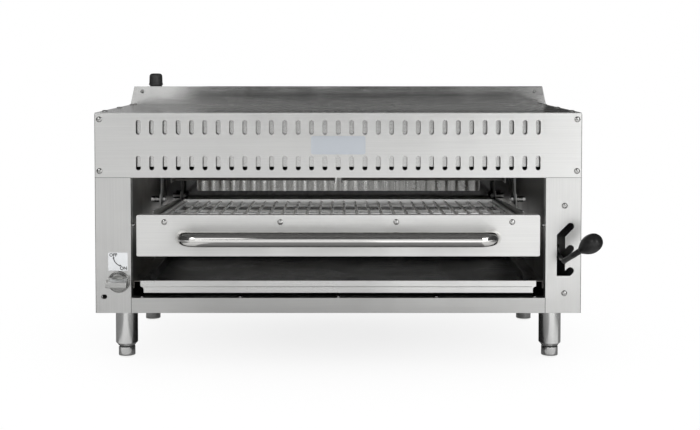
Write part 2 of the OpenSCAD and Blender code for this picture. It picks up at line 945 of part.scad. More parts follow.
module pan_runners() {
    runner_y = front_y + runner_inset;
    color("gray") both_sides() {
        block([runner_in_x, runner_y, runner_top_z - runner_t],
            [open_x, runner_y + runner_l, runner_top_z]);
        block([open_x - runner_t, runner_y, runner_top_z - runner_web],
            [open_x, runner_y + runner_l, runner_top_z]);
    }
}

// A pan-head screw standing on z = 0, with its shank below
module screw(shank_l) {
    intersection() {
        cylinder(h = screw_head_h, d = screw_head_d);
        translate([0, 0, screw_head_h - screw_dome_r]) sphere(screw_dome_r);
    }
    translate([0, 0, -shank_l]) cylinder(h = shank_l + 0.5, d = screw_d);
}

module rivet() {
    intersection() {
        cylinder(h = rivet_head_h, d = rivet_head_d);
        translate([0, 0, rivet_head_h - rivet_dome_r]) sphere(rivet_dome_r);
    }
    translate([0, 0, -2 * sheet_t]) cylinder(h = 2 * sheet_t + 0.5, d = rivet_d);
}

module panel_screws() {
    color("silver") {
        translate([0, front_y, 0]) rotate([90, 0, 0]) {
            front_screw_places() screw(screw_l);
            post_screw_places() screw(screw_l);
        }
        translate([0, 0, top_z]) top_screw_places() screw(screw_l);
    }
}

module rivets() {
    color("silver") {
        translate([0, 0, sill_z]) floor_rivet_places() rivet();
        translate([0, riser_y, 0]) rotate([90, 0, 0]) riser_rivet_places() rivet();
    }
}

// A lift crank with the pin that carries a hanger link
module lift_crank(y) {
    side_bar(crank_x, crank_t, [y, lift_z], [y + crank_r, lift_z], crank_w);
    bar_x(link_x - 2, y + crank_r, lift_z, crank_x - link_x + 3, pin_r);
}

module front_lift_shaft() {
    color("dimgray") {
        bar_x(-shaft_end_x, front_shaft_y, lift_z, shaft_end_x + push_crank_x + crank_t, shaft_r);
        both_sides() lift_crank(front_shaft_y);
        side_bar(push_crank_x, crank_t, [front_shaft_y, lift_z], [front_shaft_y + push_r, lift_z], crank_w);
        bar_x(push_crank_x, front_shaft_y + push_r, lift_z, pushrod_x + pushrod_t + 1 - push_crank_x, pin_r);
    }
}

module rear_lift_shaft() {
    color("dimgray") {
        bar_x(-shaft_end_x, rear_shaft_y, lift_z, 2 * shaft_end_x, shaft_r);
        both_sides() lift_crank(rear_shaft_y);
    }
}

// One carriage rail: a tapered web, a ledge for the rack and two hanging straps
module rail() {
    difference() {
        union() {
            translate([rail_x, 0, 0]) rotate([90, 0, 90]) linear_extrude(rail_t) polygon([
                [rail_front_y, slope_z(rail_front_y) - ledge_drop],
                [rail_back_y, slope_z(rail_back_y) - ledge_drop],
                [rail_back_y, slope_z(rail_back_y) - ledge_drop + rail_back_h],
                [rail_front_y, slope_z(rail_front_y) - ledge_drop + rail_front_h]
            ]);
            translate([rail_x - ledge_w, 0, 0]) rotate([90, 0, 90])
                linear_extrude(ledge_w + rail_t / 2) polygon([
                    [rail_front_y, slope_z(rail_front_y) - ledge_drop],
                    [rail_back_y, slope_z(rail_back_y) - ledge_drop],
                    [rail_back_y, slope_z(rail_back_y) - ledge_drop + rail_t],
                    [rail_front_y, slope_z(rail_front_y) - ledge_drop + rail_t]
                ]);
            block([rail_x, front_pin_y - link_w / 2, slope_z(front_pin_y)],
                [rail_x + rail_t, front_pin_y + link_w / 2, front_bolt_z + strap_over]);
            block([rail_x, rear_pin_y - link_w / 2, slope_z(rear_pin_y) - ledge_drop + 1],
                [rail_x + rail_t, rear_pin_y + link_w / 2, rear_bolt_z + strap_over]);
        }
        bar_x(rail_x - 1, front_pin_y, front_bolt_z, rail_t + 2, bolt_r + running_gap);
        bar_x(rail_x - 1, rear_pin_y, rear_bolt_z, rail_t + 2, bolt_r + running_gap);
    }
}

module right_rail() {
    color("silver") rail();
}

module left_rail() {
    color("silver") mirror([1, 0, 0]) rail();
}

// Links that hang the rails from the crank pins
module hanger_links() {
    color("dimgray") both_sides() {
        hanger_link(front_pin_y, front_bolt_z);
        hanger_link(rear_pin_y, rear_bolt_z);
    }
}

module hanger_link(y, bolt_z) {
    difference() {
        side_bar(link_x, link_t, [y, bolt_z], [y, lift_z], link_w);
        bar_x(link_x - 1, y, bolt_z, link_t + 2, bolt_r + running_gap);
        bar_x(link_x - 1, y, lift_z, link_t + 2, pin_r + running_gap);
    }
}

// Bolts through link and rail, each with its nut inside and a spacer and head outside,
// and the two bars that tie the rails together
module hanger_bolts() {
    color("silver") {
        both_sides() {
            hanger_bolt(front_pin_y, front_bolt_z);
            hanger_bolt(rear_pin_y, rear_bolt_z);
        }
        for (y = tie_y)
            bar_x(-rail_x, y, slope_z(y) - ledge_drop - tie_r, 2 * rail_x, tie_r);
    }
}

module bolt_hex(x, y, z) {
    translate([x, y, z]) rotate([0, 90, 0]) cylinder(h = bolt_head_h, r = bolt_head_r, $fn = 6);
}

module hanger_bolt(y, z) {
    nut_x = link_x - bolt_head_h;
    end_x = rail_x + rail_t;
    bolt_hex(nut_x, y, z);
    bar_x(nut_x - 2, y, z, end_x - nut_x + 3, bolt_r);
    bar_x(end_x, y, z, spacer_l, spacer_r);
    bolt_hex(end_x + spacer_l, y, z);
}

// Welded flat-bar frame of the rack, with seats for the rods
module rack_frame() {
    back = rack_back_y - front_y;
    bar_back = rack_t + frame_t;
    seat_l = back - bar_back - frame_t + 2 * rod_seat;
    side_x = frame_x - slide_gap;
    color("silver") difference() {
        union() {
            block([-frame_x, front_bar_y, rack_rod_z - front_bar_h / 2],
                [frame_x, front_bar_y + frame_t, rack_rod_z + front_bar_h / 2]);
            on_slope() {
                for (x = [-side_x, side_x - frame_t])
                    translate([x, bar_back - 1, -frame_h / 2]) cube([frame_t, back - bar_back + 1, frame_h]);
                translate([-side_x, back - frame_t, -frame_h / 2]) cube([2 * side_x, frame_t, frame_h]);
            }
        }
        on_slope() for (i = [-rod_side : rod_side])
            bar_y(i * rod_pitch, bar_back - rod_seat, 0, seat_l, rod_r + running_gap);
        for (x = rack_screws_x) both_sides()
            bar_y(x, front_y, rack_rod_z, rack_screw_l + hole_gap, screw_hole_d / 2);
    }
}

// Front-to-back rods and the cross rods under them
module rack_rods() {
    back = rack_back_y - front_y;
    reach = rail_x - ledge_w - slide_gap;
    rod_y = rack_t + frame_t - rod_seat + slide_gap;
    rod_l = back - frame_t + rod_seat - slide_gap - rod_y;
    color("silver") on_slope() {
        for (i = [-rod_side : rod_side])
            bar_y(i * rod_pitch, rod_y, 0, rod_l, rod_r);
        for (y = cross_rods_y) bar_x(-reach, y - front_y, -rod_d - running_gap, 2 * reach, rod_r);
    }
}

// Tray-shaped front panel of the rack, with its four screws
module rack_front() {
    half = rack_w / 2;
    color("silver") {
        upright(front_y, rack_t) difference() {
            translate([0, (rack_z + rack_top_z) / 2]) rounded(rack_w, rack_h, rack_r);
            for (x = rack_screws_x, side = [-1, 1])
                translate([side * x, rack_rod_z]) circle(d = screw_hole_d);
        }
        for (z = [rack_z, rack_top_z - rack_t])
            block([-half + rack_r, front_y + rack_t / 2, z],
                [half - rack_r, front_bar_y + rack_fold, z + rack_t]);
        for (x = rack_screws_x) both_sides()
            translate([x, front_y, rack_rod_z]) rotate([90, 0, 0]) screw(rack_screw_l);
    }
}

// Bowed tube handle: a straight run, two quarter bends and two short stubs
module rack_handle() {
    bend_r = 30;
    stub_x = rack_w / 2 - handle_inset - handle_d / 2;
    handle_z = (rack_z + rack_top_z) / 2 - 1.5;
    run_x = stub_x - bend_r;
    color("silver") translate([0, 0, handle_z]) {
        bar_x(-run_x, front_y - handle_reach, 0, 2 * run_x, handle_d / 2);
        both_sides() {
            translate([run_x, front_y - handle_reach + bend_r, 0]) rotate([0, 0, -90])
                rotate_extrude(angle = 90) translate([bend_r, 0]) circle(d = handle_d);
            bar_y(stub_x, front_y - handle_reach + bend_r, 0, handle_reach - bend_r, handle_d / 2);
        }
    }
}

// Lever hub: a tube on the stud, the pushrod's arm and the clevis of the latch
module lever_hub() {
    pivot = [lever_pivot_y, notch_z];
    ear_in = eye_t / 2 + ear_gap;
    ear_out = ear_in + ear_t;
    color("dimgray") difference() {
        union() {
            bar_x(hub_arm_x, lever_pivot_y, notch_z, hub_end_x - hub_arm_x, hub_r);
            side_bar(hub_arm_x, crank_t, pivot, pivot + [push_r, 0], crank_w);
            bar_x(pushrod_x - 1, lever_pivot_y + push_r, notch_z, hub_arm_x - pushrod_x + 2, pin_r);
            translate([lever_x, latch_y, notch_z]) rotate([0, -notch_slant, 0]) difference() {
                union() {
                    translate([-eye_r, 0, -ear_out]) cube([2 * eye_r, latch_ahead, 2 * ear_out]);
                    translate([0, 0, -ear_out]) cylinder(h = 2 * ear_out, r = eye_r);
                }
                translate([-eye_r - 1, -eye_r - 1, -ear_in])
                    cube([2 * eye_r + 2, eye_r + 1 + clevis_d, 2 * ear_in]);
            }
            translate([lever_x, latch_y, notch_z]) rotate([0, -notch_slant, 0])
                translate([0, 0, -ear_out - 1]) cylinder(h = 2 * ear_out + 2, r = latch_pin_r);
        }
        bar_x(hub_arm_x - 1, lever_pivot_y, notch_z, hub_end_x - hub_arm_x + 2, stud_r + running_gap);
    }
}

// Bent lever rod, with the eye that turns on the latch pin
module lever_rod() {
    bend = [lever_x, bend_y, notch_z];
    aim = grip_offset / norm(grip_offset);
    tip = bend + aim * (norm(grip_offset) - neck_l + rod_in_grip);
    color("black") difference() {
        union() {
            translate([lever_x, latch_y, notch_z]) rotate([0, -notch_slant, 0])
                translate([0, 0, -eye_t / 2]) cylinder(h = eye_t, r = eye_r);
            translate([lever_x, latch_y, notch_z]) rotate([0, -notch_slant, 0])
                translate([-lever_r, -eye_r - 2, -eye_t / 2]) cube([lever_d, eye_r + 2, eye_t]);
            bar([lever_x, latch_y - eye_r - 1, notch_z], bend, lever_r);
            translate(bend) sphere(lever_r + slide_gap);
            bar(bend, tip, lever_r);
        }
        translate([lever_x, latch_y, notch_z]) rotate([0, -notch_slant, 0])
            translate([0, 0, -eye_t]) cylinder(h = 2 * eye_t, r = latch_pin_r + running_gap);
    }
}

// Pear-shaped grip with its bright ferrule, bored for the rod
module lever_grip() {
    bend = [lever_x, bend_y, notch_z];
    reach = norm(grip_offset);
    tilt = asin(grip_r / norm([neck_l, neck_r])) - atan(neck_r / neck_l);
    cone_l = neck_l - grip_r * sin(tilt);
    translate(bend) rotate([0, acos(grip_offset[2] / reach), atan2(grip_offset[1], grip_offset[0])])
        translate([0, 0, reach - neck_l]) difference() {
            union() {
                color("silver") translate([0, 0, -ferrule_l]) cylinder(h = ferrule_l, r = ferrule_r);
                color("black") cylinder(h = cone_l, r1 = neck_r, r2 = grip_r * cos(tilt));
                color("black") translate([0, 0, neck_l]) sphere(grip_r);
            }
            translate([0, 0, -ferrule_l - 1])
                cylinder(h = ferrule_l + rod_in_grip + 1 + slide_gap, r = lever_r + running_gap);
        }
}

module pushrod() {
    low = [lever_pivot_y + push_r, notch_z];
    high = [front_shaft_y + push_r, lift_z];
    color("gray") difference() {
        side_bar(pushrod_x, pushrod_t, low, high, pushrod_w);
        for (end = [low, high])
            bar_x(pushrod_x - 1, end[0], end[1], pushrod_t + 2, pin_r + running_gap);
    }
}

// Drip pan: a tray with side flanges that ride on the runners, and a notched front lip
module drip_pan() {
    half = pan_w / 2;
    lip_x = lip_w / 2;
    rim_z = pan_z + pan_h;
    lip_top_z = pan_z + lip_h;
    color("silver") {
        difference() {
            block([-half, pan_y - pan_t / 2, pan_z], [half, pan_y + pan_l, rim_z]);
            block([-half + pan_t, pan_y + pan_t, pan_z + pan_t],
                [half - pan_t, pan_y + pan_l - pan_t, rim_z + 1]);
        }
        both_sides() block([half - pan_t, pan_y - pan_t / 2, rim_z - pan_t], [lip_x, pan_y + pan_l, rim_z]);
        upright(pan_y - pan_t, pan_t) difference() {
            area([-lip_x, pan_z], [lip_x, lip_top_z]);
            for (x = [-lip_x, lip_x]) translate([x, pan_z + lip_notch_r]) circle(lip_notch_r);
            for (x = [-lip_x, lip_x]) translate([x, pan_z]) square(2 * lip_notch_r, center = true);
        }
    }
}

front_panel();
slot_baffle();
name_plate();
top_panel();
flue_riser();
flue_duct();
left_side_panel();
right_side_panel();
back_panel();
base_panel();
left_post();
right_post();
bottom_rail();
floor_panel();
left_liner();
right_liner();
rear_liner();
rear_reflector();
cavity_roof();
burner_left();
burner_right();
burner_tiles();
burner_screens();
gas_manifold();
gas_valve();
inlet_pipe();
inlet_cap();
pilot_tube();
knob_bezel();
control_label();
leg_front_left();
leg_front_right();
leg_back_left();
leg_back_right();
foot_front_left();
foot_front_right();
foot_back_left();
foot_back_right();
shaft_bushes();
lever_stud();
pan_runners();
panel_screws();
rivets();
gas_knob();
valve_stem();
front_lift_shaft();
rear_lift_shaft();
left_rail();
right_rail();
hanger_links();
hanger_bolts();
rack_frame();
rack_rods();
rack_front();
rack_handle();
lever_hub();
lever_rod();
lever_grip();
pushrod();
drip_pan();
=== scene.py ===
# %% [markdown]
# # A cheese melter, dressed in Blender
#
# The solids come from the CAD package and are loaded as a fixed frame: every piece of sheet steel, rod
# and lever already has its true place and size, in metres. Blender's work is the surface: brushed
# grain, rolled edges, screw heads, moulded grips, and a studio to look at them in.

# %% Load the frame
import json
import math

import bmesh
import bpy
from mathutils import Matrix, Vector


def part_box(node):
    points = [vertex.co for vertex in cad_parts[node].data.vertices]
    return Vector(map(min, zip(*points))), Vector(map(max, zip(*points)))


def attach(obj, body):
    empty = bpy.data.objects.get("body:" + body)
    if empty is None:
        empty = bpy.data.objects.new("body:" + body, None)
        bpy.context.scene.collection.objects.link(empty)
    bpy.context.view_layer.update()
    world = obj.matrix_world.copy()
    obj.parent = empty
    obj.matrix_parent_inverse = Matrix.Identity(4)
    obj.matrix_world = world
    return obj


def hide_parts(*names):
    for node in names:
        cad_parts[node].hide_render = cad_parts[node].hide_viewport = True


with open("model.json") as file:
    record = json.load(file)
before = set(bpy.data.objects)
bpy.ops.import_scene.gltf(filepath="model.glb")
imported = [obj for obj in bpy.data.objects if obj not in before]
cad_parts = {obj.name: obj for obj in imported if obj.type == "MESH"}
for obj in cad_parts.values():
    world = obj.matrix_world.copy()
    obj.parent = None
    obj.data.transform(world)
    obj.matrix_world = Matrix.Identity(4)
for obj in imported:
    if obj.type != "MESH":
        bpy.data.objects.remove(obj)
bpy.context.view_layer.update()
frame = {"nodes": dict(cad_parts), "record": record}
nodes = frame["nodes"]
bpy.ops.object.select_all(action="DESELECT")

# %% [markdown]
# ## The camera
#
# The melter is seen square on from the front, from a little above its top, as on a catalogue page. The
# camera tips down by two degrees, and a vertical shift of the lens does the rest, so that the uprights
# stay almost parallel. The plain "Standard" view shows colours as they are written.

# %% Camera
def add_camera():
    data = bpy.data.cameras.new("studio camera")
    data.lens = 56.782
    data.sensor_width = 36
    data.shift_x = 0.0164
    data.shift_y = -0.1698
    data.clip_end = 60
    camera = bpy.data.objects.new("studio camera", data)
    camera.location = (0.0005, -2.2941, 0.5832)
    camera.rotation_euler = (math.radians(90 - 2), 0, 0)
    bpy.context.scene.collection.objects.link(camera)
    bpy.context.scene.camera = camera
    return camera


camera = add_camera()
bpy.context.scene.view_settings.view_transform = "Standard"
print("camera at", tuple(camera.location))

# %% [markdown]
# ## Small helpers for shader graphs
#
# A shader graph is quicker to read when each node takes one line. `add` places a node and fills in its
# sockets: a number or colour is typed in, and an output of another node is linked.

# %% Node helpers
def add(tree, kind, settings=None, **inputs):
    node = tree.nodes.new("ShaderNode" + kind)
    for name, value in (settings or {}).items():
        setattr(node, name, value)
    for name, value in inputs.items():
        plug(tree, node, name.replace("_", " "), value)
    return node


def plug(tree, node, name, value):
    socket = node.inputs[int(name[1:])] if name[0] == "i" and name[1:].isdigit() else node.inputs[name]
    if isinstance(value, bpy.types.NodeSocket):
        tree.links.new(value, socket)
    else:
        socket.default_value = value


def maths(tree, operation, a, b=0.0):
    return add(tree, "Math", {"operation": operation}, i0=a, i1=b).outputs[0]


def remap(tree, value, low, high, to_low=0.0, to_high=1.0):
    made = add(tree, "MapRange", Value=value, From_Min=low, From_Max=high, To_Min=to_low, To_Max=to_high)
    return made.outputs["Result"]


def blend_colour(tree, share, first, second):
    made = add(tree, "Mix", {"data_type": "RGBA"})
    for index, value in ((0, share), (6, first), (7, second)):
        if isinstance(value, bpy.types.NodeSocket):
            tree.links.new(value, made.inputs[index])
        else:
            made.inputs[index].default_value = value
    return made.outputs[2]


def grey(value):
    return (value, value, value, 1.0)


print("node helpers ready")

# %% [markdown]
# ## The studio
#
# A pale floor that fades into white, soft boxes around the camera and a white surrounding. Polished steel
# is lit by what it mirrors, so matt cards of several greys stand and lie around the melter. Only mirrors
# see them: they give the front its slow fall from light to mid-grey, and the legs their dark edges. A low
# lamp, which mirrors don't see, reaches into the opening.

# %% Floor
def add_floor(size=9.0, fade_from=0.1, fade_to=0.8, shade=0.95):
    bpy.ops.mesh.primitive_plane_add(size=size, location=(0, 0, -0.0004))
    floor = bpy.context.active_object
    floor.name = "studio floor"
    material = bpy.data.materials.new("pale floor")
    material.use_nodes = True
    tree = material.node_tree
    tree.nodes.clear()
    place = add(tree, "TexCoord").outputs["Object"]
    distance = add(tree, "VectorMath", {"operation": "LENGTH"}, i0=place).outputs["Value"]
    path = add(tree, "LightPath").outputs
    seen = maths(tree, "MAXIMUM", path["Is Camera Ray"], path["Is Glossy Ray"])
    far = maths(tree, "MULTIPLY", remap(tree, distance, fade_from, fade_to, 0.8, 1.0), seen)
    mottle = add(tree, "TexNoise", Vector=place, Scale=6.0, Detail=3.0).outputs["Fac"]
    tone = blend_colour(tree, mottle, grey(shade - 0.01), grey(shade + 0.01))
    matt = add(tree, "BsdfDiffuse", Color=tone).outputs[0]
    white = add(tree, "Emission", Color=grey(1.0), Strength=1.0).outputs[0]
    mix = add(tree, "MixShader", i0=far, i1=matt, i2=white).outputs[0]
    add(tree, "OutputMaterial", Surface=mix)
    floor.data.materials.append(material)
    return floor


floor = add_floor()
print("floor", floor.dimensions[:2])

# %% Surrounding light
def add_surrounding(light=1.0):
    world = bpy.data.worlds.new("white room")
    world.use_nodes = True
    tree = world.node_tree
    tree.nodes.clear()
    path = add(tree, "LightPath").outputs
    seen = maths(tree, "MAXIMUM", path["Is Camera Ray"], path["Is Glossy Ray"])
    seen = maths(tree, "MAXIMUM", seen, path["Is Transmission Ray"])
    soft = add(tree, "Background", Color=grey(1.0), Strength=light).outputs[0]
    white = add(tree, "Background", Color=grey(1.0), Strength=1.0).outputs[0]
    mix = add(tree, "MixShader", i0=seen, i1=soft, i2=white).outputs[0]
    add(tree, "OutputWorld", Surface=mix)
    bpy.context.scene.world = world


add_surrounding()
print("surrounding light set")

# %% Lamps and cards
def aim(thing, place, target):
    thing.location = place
    thing.rotation_euler = (Vector(target) - Vector(place)).to_track_quat("-Z", "Y").to_euler()


def add_soft_box(name, place, size, watts, target=(0, 0, 0.3), mirrored=True):
    data = bpy.data.lights.new(name, "AREA")
    data.shape = "RECTANGLE"
    data.size, data.size_y = size
    data.energy = watts
    lamp = bpy.data.objects.new(name, data)
    bpy.context.scene.collection.objects.link(lamp)
    aim(lamp, place, target)
    lamp.visible_glossy = mirrored


def add_card(name, place, size, target, shade):
    bpy.ops.mesh.primitive_plane_add(size=1)
    card = bpy.context.active_object
    card.name = name
    card.scale = (*size, 1)
    aim(card, place, target)
    material = bpy.data.materials.new(name)
    material.use_nodes = True
    tree = material.node_tree
    noise = add(tree, "TexNoise", Scale=40.0).outputs["Fac"]
    tone = blend_colour(tree, noise, grey(shade * 0.9), grey(shade))
    plug(tree, tree.nodes["Principled BSDF"], "Base Color", tone)
    tree.nodes["Principled BSDF"].inputs["Roughness"].default_value = 0.9
    card.data.materials.append(material)
    card.visible_camera = False
    card.visible_diffuse = False
    card.visible_shadow = False


add_soft_box("right soft box", (1.9, -2.7, 1.0), (1.6, 1.8), 27)
add_soft_box("left soft box", (-1.5, -2.7, 1.65), (0.8, 0.6), 8, (-0.45, 0.1, 0.5))
add_soft_box("low front lamp", (0.0, -2.9, 0.68), (2.6, 0.3), 36, mirrored=False)
add_card("left card", (-2.1, -3.0, 0.12), (2.6, 1.36), (0, -0.2, 0.4), 0.46)
add_card("ceiling card", (0.0, 0.0, 2.2), (6.0, 6.2), (0.0, 0.0, 0.0), 0.06)
add_card("card above the camera", (1.3, -3.1, 1.75), (3.8, 1.2), (1.3, 0.0, 1.2), 0.02)
add_card("card ahead of the riser", (0.9, -3.02, 0.53), (3.4, 0.46), (0.9, 0.0, 0.53), 0.03)
add_card("card behind the melter", (1.3, 1.8, 0.85), (3.6, 1.5), (1.3, 0.0, 0.6), 0.02)
add_card("near low card", (0.0, 0.3, 0.004), (3.4, 1.9), (0.0, 0.3, 1.0), 0.2)
add_card("patch before the left leg", (-0.42, -0.385, 0.006), (0.24, 0.43), (-0.42, -0.385, 1.0), 0.6)
add_card("patch before the right leg", (0.5, -0.385, 0.006), (0.32, 0.43), (0.5, -0.385, 1.0), 0.6)
add_card("card under the melter", (0.0, 0.04, 0.007), (0.74, 0.5), (0.0, 0.04, 1.0), 0.02)
add_card("far low card at the left", (-1.45, -1.3, 0.004), (3.1, 1.3), (-1.45, -1.3, 1.0), 0.6)
add_card("far low card at the right", (1.65, -1.3, 0.004), (3.1, 1.3), (1.65, -1.3, 1.0), 0.9)
add_card("card at the left", (-1.6, -0.2, 0.6), (3.2, 1.2), (0.0, -0.2, 0.6), 0.03)
add_card("card at the right", (1.6, -0.2, 0.6), (3.2, 1.2), (0.0, -0.2, 0.6), 0.03)
print("lamps and cards placed")

# %% [markdown]
# ## Shared effects
#
# Several finishes need the same effects: the brushed grain of sheet steel, the marks that hands leave,
# fine scratches, the straw and blue tints of heated steel, and the skin of cast iron. Each is a node
# group with named sockets, built once and placed in every material with its own values.

# %% Group maker
def start_group(name, inputs, outputs):
    group = bpy.data.node_groups.new(name, "ShaderNodeTree")
    for label, kind, value in inputs:
        socket = group.interface.new_socket(name=label, in_out="INPUT", socket_type="NodeSocket" + kind)
        if value is not None:
            socket.default_value = value
    for label, kind in outputs:
        group.interface.new_socket(name=label, in_out="OUTPUT", socket_type="NodeSocket" + kind)
    given = group.nodes.new("NodeGroupInput").outputs
    result = group.nodes.new("NodeGroupOutput")
    return group, given, result


print("group maker ready")

# %% [markdown]
# ### Brushed grain
#
# A belt draws thousands of hair-fine lines along the sheet. Noise that is stretched a hundredfold along
# X gives the lines, and a broader stretched noise gives the slow bands that make real sheet look
# rolled rather than printed.

# %% Brushed grain group
def make_brushed_grain():
    group, given, result = start_group(
        "brushed grain",
        [("Vector", "Vector", None), ("Fineness", "Float", 900.0)],
        [("Grain", "Float"), ("Bands", "Float")],
    )
    squeeze = add(group, "VectorMath", {"operation": "MULTIPLY"}, i0=given["Vector"], i1=(0.008, 1.0, 1.0))
    fine = add(group, "TexNoise", Vector=squeeze.outputs[0], Scale=given["Fineness"], Detail=3.0)
    broad_scale = maths(group, "MULTIPLY", given["Fineness"], 0.09)
    broad = add(group, "TexNoise", Vector=squeeze.outputs[0], Scale=broad_scale, Detail=2.0)
    plug(group, result, "Grain", remap(group, fine.outputs["Fac"], 0.25, 0.75))
    plug(group, result, "Bands", remap(group, broad.outputs["Fac"], 0.3, 0.7))
    return group


brushed_grain = make_brushed_grain()
print("group:", brushed_grain.name)

# %% [markdown]
# ### Handling marks and scratches
#
# Hands and cloths leave soft patches that change the gloss more than the colour. Scratches are short
# thin arcs: the borders of long stretched cells, kept only where a second noise allows them.

# %% Handling marks group
def make_handling_marks():
    group, given, result = start_group(
        "handling marks",
        [("Vector", "Vector", None), ("Size", "Float", 7.0), ("Amount", "Float", 1.0)],
        [("Marks", "Float")],
    )
    patch = add(group, "TexNoise", Vector=given["Vector"], Scale=given["Size"], Detail=5.0, Distortion=0.8)
    wipe_scale = maths(group, "MULTIPLY", given["Size"], 4.0)
    wipe = add(group, "TexNoise", Vector=given["Vector"], Scale=wipe_scale, Detail=3.0)
    shaped = maths(group, "MULTIPLY", remap(group, patch.outputs["Fac"], 0.42, 0.68), wipe.outputs["Fac"])
    plug(group, result, "Marks", maths(group, "MULTIPLY", shaped, given["Amount"]))
    return group


def make_scratches():
    group, given, result = start_group(
        "scratches",
        [("Vector", "Vector", None), ("Density", "Float", 30.0), ("Amount", "Float", 1.0)],
        [("Lines", "Float")],
    )
    bent = add(group, "TexNoise", Vector=given["Vector"], Scale=9.0, Detail=1.0).outputs["Color"]
    multiply_add = {"operation": "MULTIPLY_ADD"}
    path = add(group, "VectorMath", multiply_add, i0=bent, i1=(0.05,) * 3, i2=given["Vector"]).outputs[0]
    cells = add(group, "TexVoronoi", {"feature": "DISTANCE_TO_EDGE"}, Vector=path, Scale=given["Density"])
    line = remap(group, cells.outputs["Distance"], 0.0, 0.012, 1.0, 0.0)
    keep = add(group, "TexNoise", Vector=given["Vector"], Scale=given["Density"], Detail=2.0).outputs["Fac"]
    kept = maths(group, "MULTIPLY", line, remap(group, keep, 0.52, 0.62))
    plug(group, result, "Lines", maths(group, "MULTIPLY", kept, given["Amount"]))
    return group


handling_marks, scratches = make_handling_marks(), make_scratches()
print("groups:", handling_marks.name, scratches.name)

# %% [markdown]
# ### Heat tint
#
# Stainless steel near a flame passes through straw, bronze and a dull blue as its oxide thickens. A
# ramp over a slow noise gives those colours, and the mask says how strongly they show.

# %% Heat tint group
def make_heat_tint():
    group, given, result = start_group(
        "heat tint",
        [("Vector", "Vector", None), ("Spread", "Float", 5.0), ("Amount", "Float", 0.5)],
        [("Tint", "Color"), ("Mask", "Float")],
    )
    drift = add(group, "TexNoise", Vector=given["Vector"], Scale=given["Spread"], Detail=4.0, Distortion=0.6)
    ramp = add(group, "ValToRGB", i0=drift.outputs["Fac"])
    stops = ramp.color_ramp.elements
    stops[0].position, stops[0].color = 0.3, (0.62, 0.61, 0.58, 1)
    stops[1].position, stops[1].color = 0.72, (0.33, 0.35, 0.42, 1)
    for position, colour in ((0.45, (0.6, 0.53, 0.4, 1)), (0.58, (0.46, 0.36, 0.29, 1))):
        stops.new(position).color = colour
    plug(group, result, "Tint", ramp.outputs["Color"])
    spread = remap(group, drift.outputs["Fac"], 0.3, 0.7)
    plug(group, result, "Mask", maths(group, "MULTIPLY", spread, given["Amount"]))
    return group


heat_tint = make_heat_tint()
print("group:", heat_tint.name)

# %% [markdown]
# ### Cast skin
#
# Iron cast in sand keeps a fine orange-peel surface. Two sizes of noise give its height, and the dips
# are a little darker.

# %% Cast skin group
def make_cast_skin():
    group, given, result = start_group(
        "cast skin",
        [("Vector", "Vector", None), ("Size", "Float", 500.0)],
        [("Height", "Float"), ("Shade", "Float")],
    )
    fine = add(group, "TexNoise", Vector=given["Vector"], Scale=given["Size"], Detail=4.0).outputs["Fac"]
    slow_scale = maths(group, "MULTIPLY", given["Size"], 0.12)
    slow = add(group, "TexNoise", Vector=given["Vector"], Scale=slow_scale, Detail=2.0).outputs["Fac"]
    height = maths(group, "ADD", maths(group, "MULTIPLY", fine, 0.6), maths(group, "MULTIPLY", slow, 0.4))
    plug(group, result, "Height", height)
    plug(group, result, "Shade", remap(group, height, 0.35, 0.65))
    return group


cast_skin = make_cast_skin()
print("group:", cast_skin.name)

# %% [markdown]
# ## Finishes
#
# `start_finish` gives a new material with its Principled shader and the place on the piece, in metres.
# Values that are the same all over go straight on the shader's sockets.

# %% Finish helpers
def start_finish(name, metallic=0.0, roughness=0.5, **sockets):
    material = bpy.data.materials.new(name)
    material.use_nodes = True
    tree = material.node_tree
    shader = tree.nodes["Principled BSDF"]
    shader.inputs["Metallic"].default_value = metallic
    shader.inputs["Roughness"].default_value = roughness
    for socket, value in sockets.items():
        shader.inputs[socket.replace("_", " ")].default_value = value
    place = add(tree, "TexCoord").outputs["Object"]
    return material, tree, shader, place


def place_group(tree, group, **inputs):
    made = tree.nodes.new("ShaderNodeGroup")
    made.node_tree = group
    for name, value in inputs.items():
        plug(tree, made, name, value)
    return made.outputs


def add_bump(tree, shader, height, strength, distance=0.001):
    bump = add(tree, "Bump", Strength=strength, Distance=distance, Height=height)
    tree.links.new(bump.outputs["Normal"], shader.inputs["Normal"])


print("finish helpers ready")
